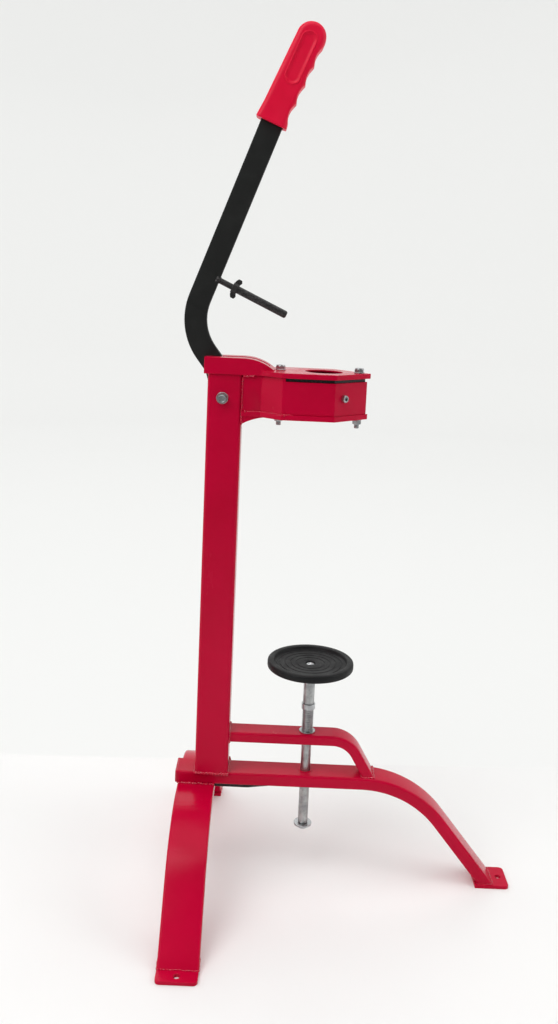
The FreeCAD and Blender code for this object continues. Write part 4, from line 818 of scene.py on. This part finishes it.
def add_plunger():
    """The wing nut, and the stud on the lever that carries the plunger's rod."""
    soften("wing_nut", 0.00035, 5, black_rod)
    lean = math.pi / 2 - LEVER_SWING
    down = Vector((math.cos(lean), 0, -math.sin(lean)))
    foot = PIVOT + Vector((0.117 * math.cos(LEVER_SWING), 0, 0.117 * math.sin(LEVER_SWING)))
    start = foot - down * 0.018

    def stud(bm):
        thread(bm, start, -down, 0.0475, 0.0036, 0.00125, 0.0004, taper=False)
        cap = [(0.0036, 0.0455), (0.0042, 0.0462), (0.0052, 0.0478), (0.0058, 0.05), (0, 0.053)]
        lathe(bm, cap, start, 40, along(-down))

    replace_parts(add_mesh("plunger_stud_threaded", stud, black_rod, "lever"), "plunger_stud")


# Room, light and camera

def add_room():
    """A round studio with a coved floor: white paper up to behind the feet, then a bright backdrop. The paper
    turns dim towards the front, so that the gloss paint stays deep."""
    material, tree, shader = new_material("studio_paper")
    position = tree.nodes.new("ShaderNodeTexCoord").outputs["Object"]
    depth = tree.nodes.new("ShaderNodeSeparateXYZ")
    tree.links.new(position, depth.inputs[0])

    def share(low, high):
        made = node(tree, "ShaderNodeMapRange", From_Min=low, From_Max=high)
        tree.links.new(depth.outputs["Y"], made.inputs["Value"])
        return made.outputs["Result"]

    paper = mix(tree, noise_map(tree, 2.5, 3), (0.87, 0.87, 0.86), (0.9, 0.9, 0.895))
    sheet = mix(tree, share(-2.0, -0.7), (0.3, 0.3, 0.3), paper)
    backdrop = share(0.276, 0.28)
    tree.links.new(mix(tree, backdrop, sheet, (0.3, 0.3, 0.297)), shader.inputs["Base Color"])
    glow = mix(tree, backdrop, (0, 0, 0), (0.6, 0.605, 0.595))
    tree.links.new(glow, shader.inputs["Emission Color"])
    shader.inputs["Emission Strength"].default_value = 1
    shader.inputs["Roughness"].default_value = 0.8
    shader.inputs["Specular IOR Level"].default_value = 0.1
    mesh = bpy.data.meshes.new("studio")
    bm = bmesh.new()
    lathe(bm, [(0, 0), (2.9, 0), (3.2, 0.08), (3.4, 0.4), (3.4, 4.4)], Vector((0, 0, 0)), 96)
    bmesh.ops.recalc_face_normals(bm, faces=bm.faces)
    bm.to_mesh(mesh)
    bm.free()
    mesh.shade_smooth()
    mesh.materials.append(material)
    room = bpy.data.objects.new("studio", mesh)
    room.rotation_euler.z = 0.03
    bpy.context.scene.collection.objects.link(room)


def add_light(name, place, target, size, power):
    lamp = bpy.data.lights.new(name, "AREA")
    lamp.shape = "RECTANGLE"
    lamp.size = size[0]
    lamp.size_y = size[1]
    lamp.energy = power
    thing = bpy.data.objects.new(name, lamp)
    thing.location = place
    thing.rotation_euler = (Vector(target) - Vector(place)).to_track_quat("-Z", "Y").to_euler()
    bpy.context.scene.collection.objects.link(thing)


def add_lights():
    add_light("key", (-1.7, -1.7, 2.9), (0, 0, 0.4), (2.4, 2.4), 60)
    add_light("right", (2.3, -0.6, 1.7), (0, 0, 0.4), (1.4, 1.6), 16)
    add_light("top", (0.1, -0.3, 3.6), (0, 0, 0.3), (3.4, 2.6), 48)
    add_light("rear", (-0.6, 2.4, 2.6), (0, 0, 0.5), (1.6, 1.6), 12)
    world = bpy.data.worlds.new("soft_world")
    world.use_nodes = True
    background = world.node_tree.nodes["Background"]
    background.inputs["Color"].default_value = (1, 1, 1, 1)
    background.inputs["Strength"].default_value = 0.06
    bpy.context.scene.world = world


def add_camera():
    """The photograph's camera, as fitted. Its focal length and middle line are in pixels."""
    frame_height = 1024
    focal = 972.1
    middle_line = 413.2
    lens = bpy.data.cameras.new("camera")
    lens.sensor_width = 36
    lens.lens = focal * lens.sensor_width / frame_height
    lens.shift_y = -(frame_height / 2 - middle_line) / frame_height
    lens.clip_start = 0.05
    camera = bpy.data.objects.new("camera", lens)
    pitch = math.radians(7.7)
    roll = math.radians(2.5)
    right = Vector((1, 0, 0))
    up = Vector((0, math.sin(pitch), math.cos(pitch)))
    forward = Vector((0, math.cos(pitch), -math.sin(pitch)))
    leaned_right = right * math.cos(roll) + up * math.sin(roll)
    leaned_up = up * math.cos(roll) - right * math.sin(roll)
    turn = Matrix((leaned_right, leaned_up, -forward)).transposed()
    camera.matrix_world = Matrix.Translation((-0.0973, -1.1259, 0.7268)) @ turn.to_4x4()
    bpy.context.scene.collection.objects.link(camera)
    bpy.context.scene.camera = camera


add_eased_solids()
paint_solids()
add_welds()
add_housing_bolts()
add_pivot_bolt()
add_end_screw()
add_jaw_screw()
add_platform_spring()
add_return_spring()
add_platform()
add_grip()
add_plunger()

bpy.context.scene.view_settings.view_transform = "Standard"
add_room()
add_lights()
add_camera()
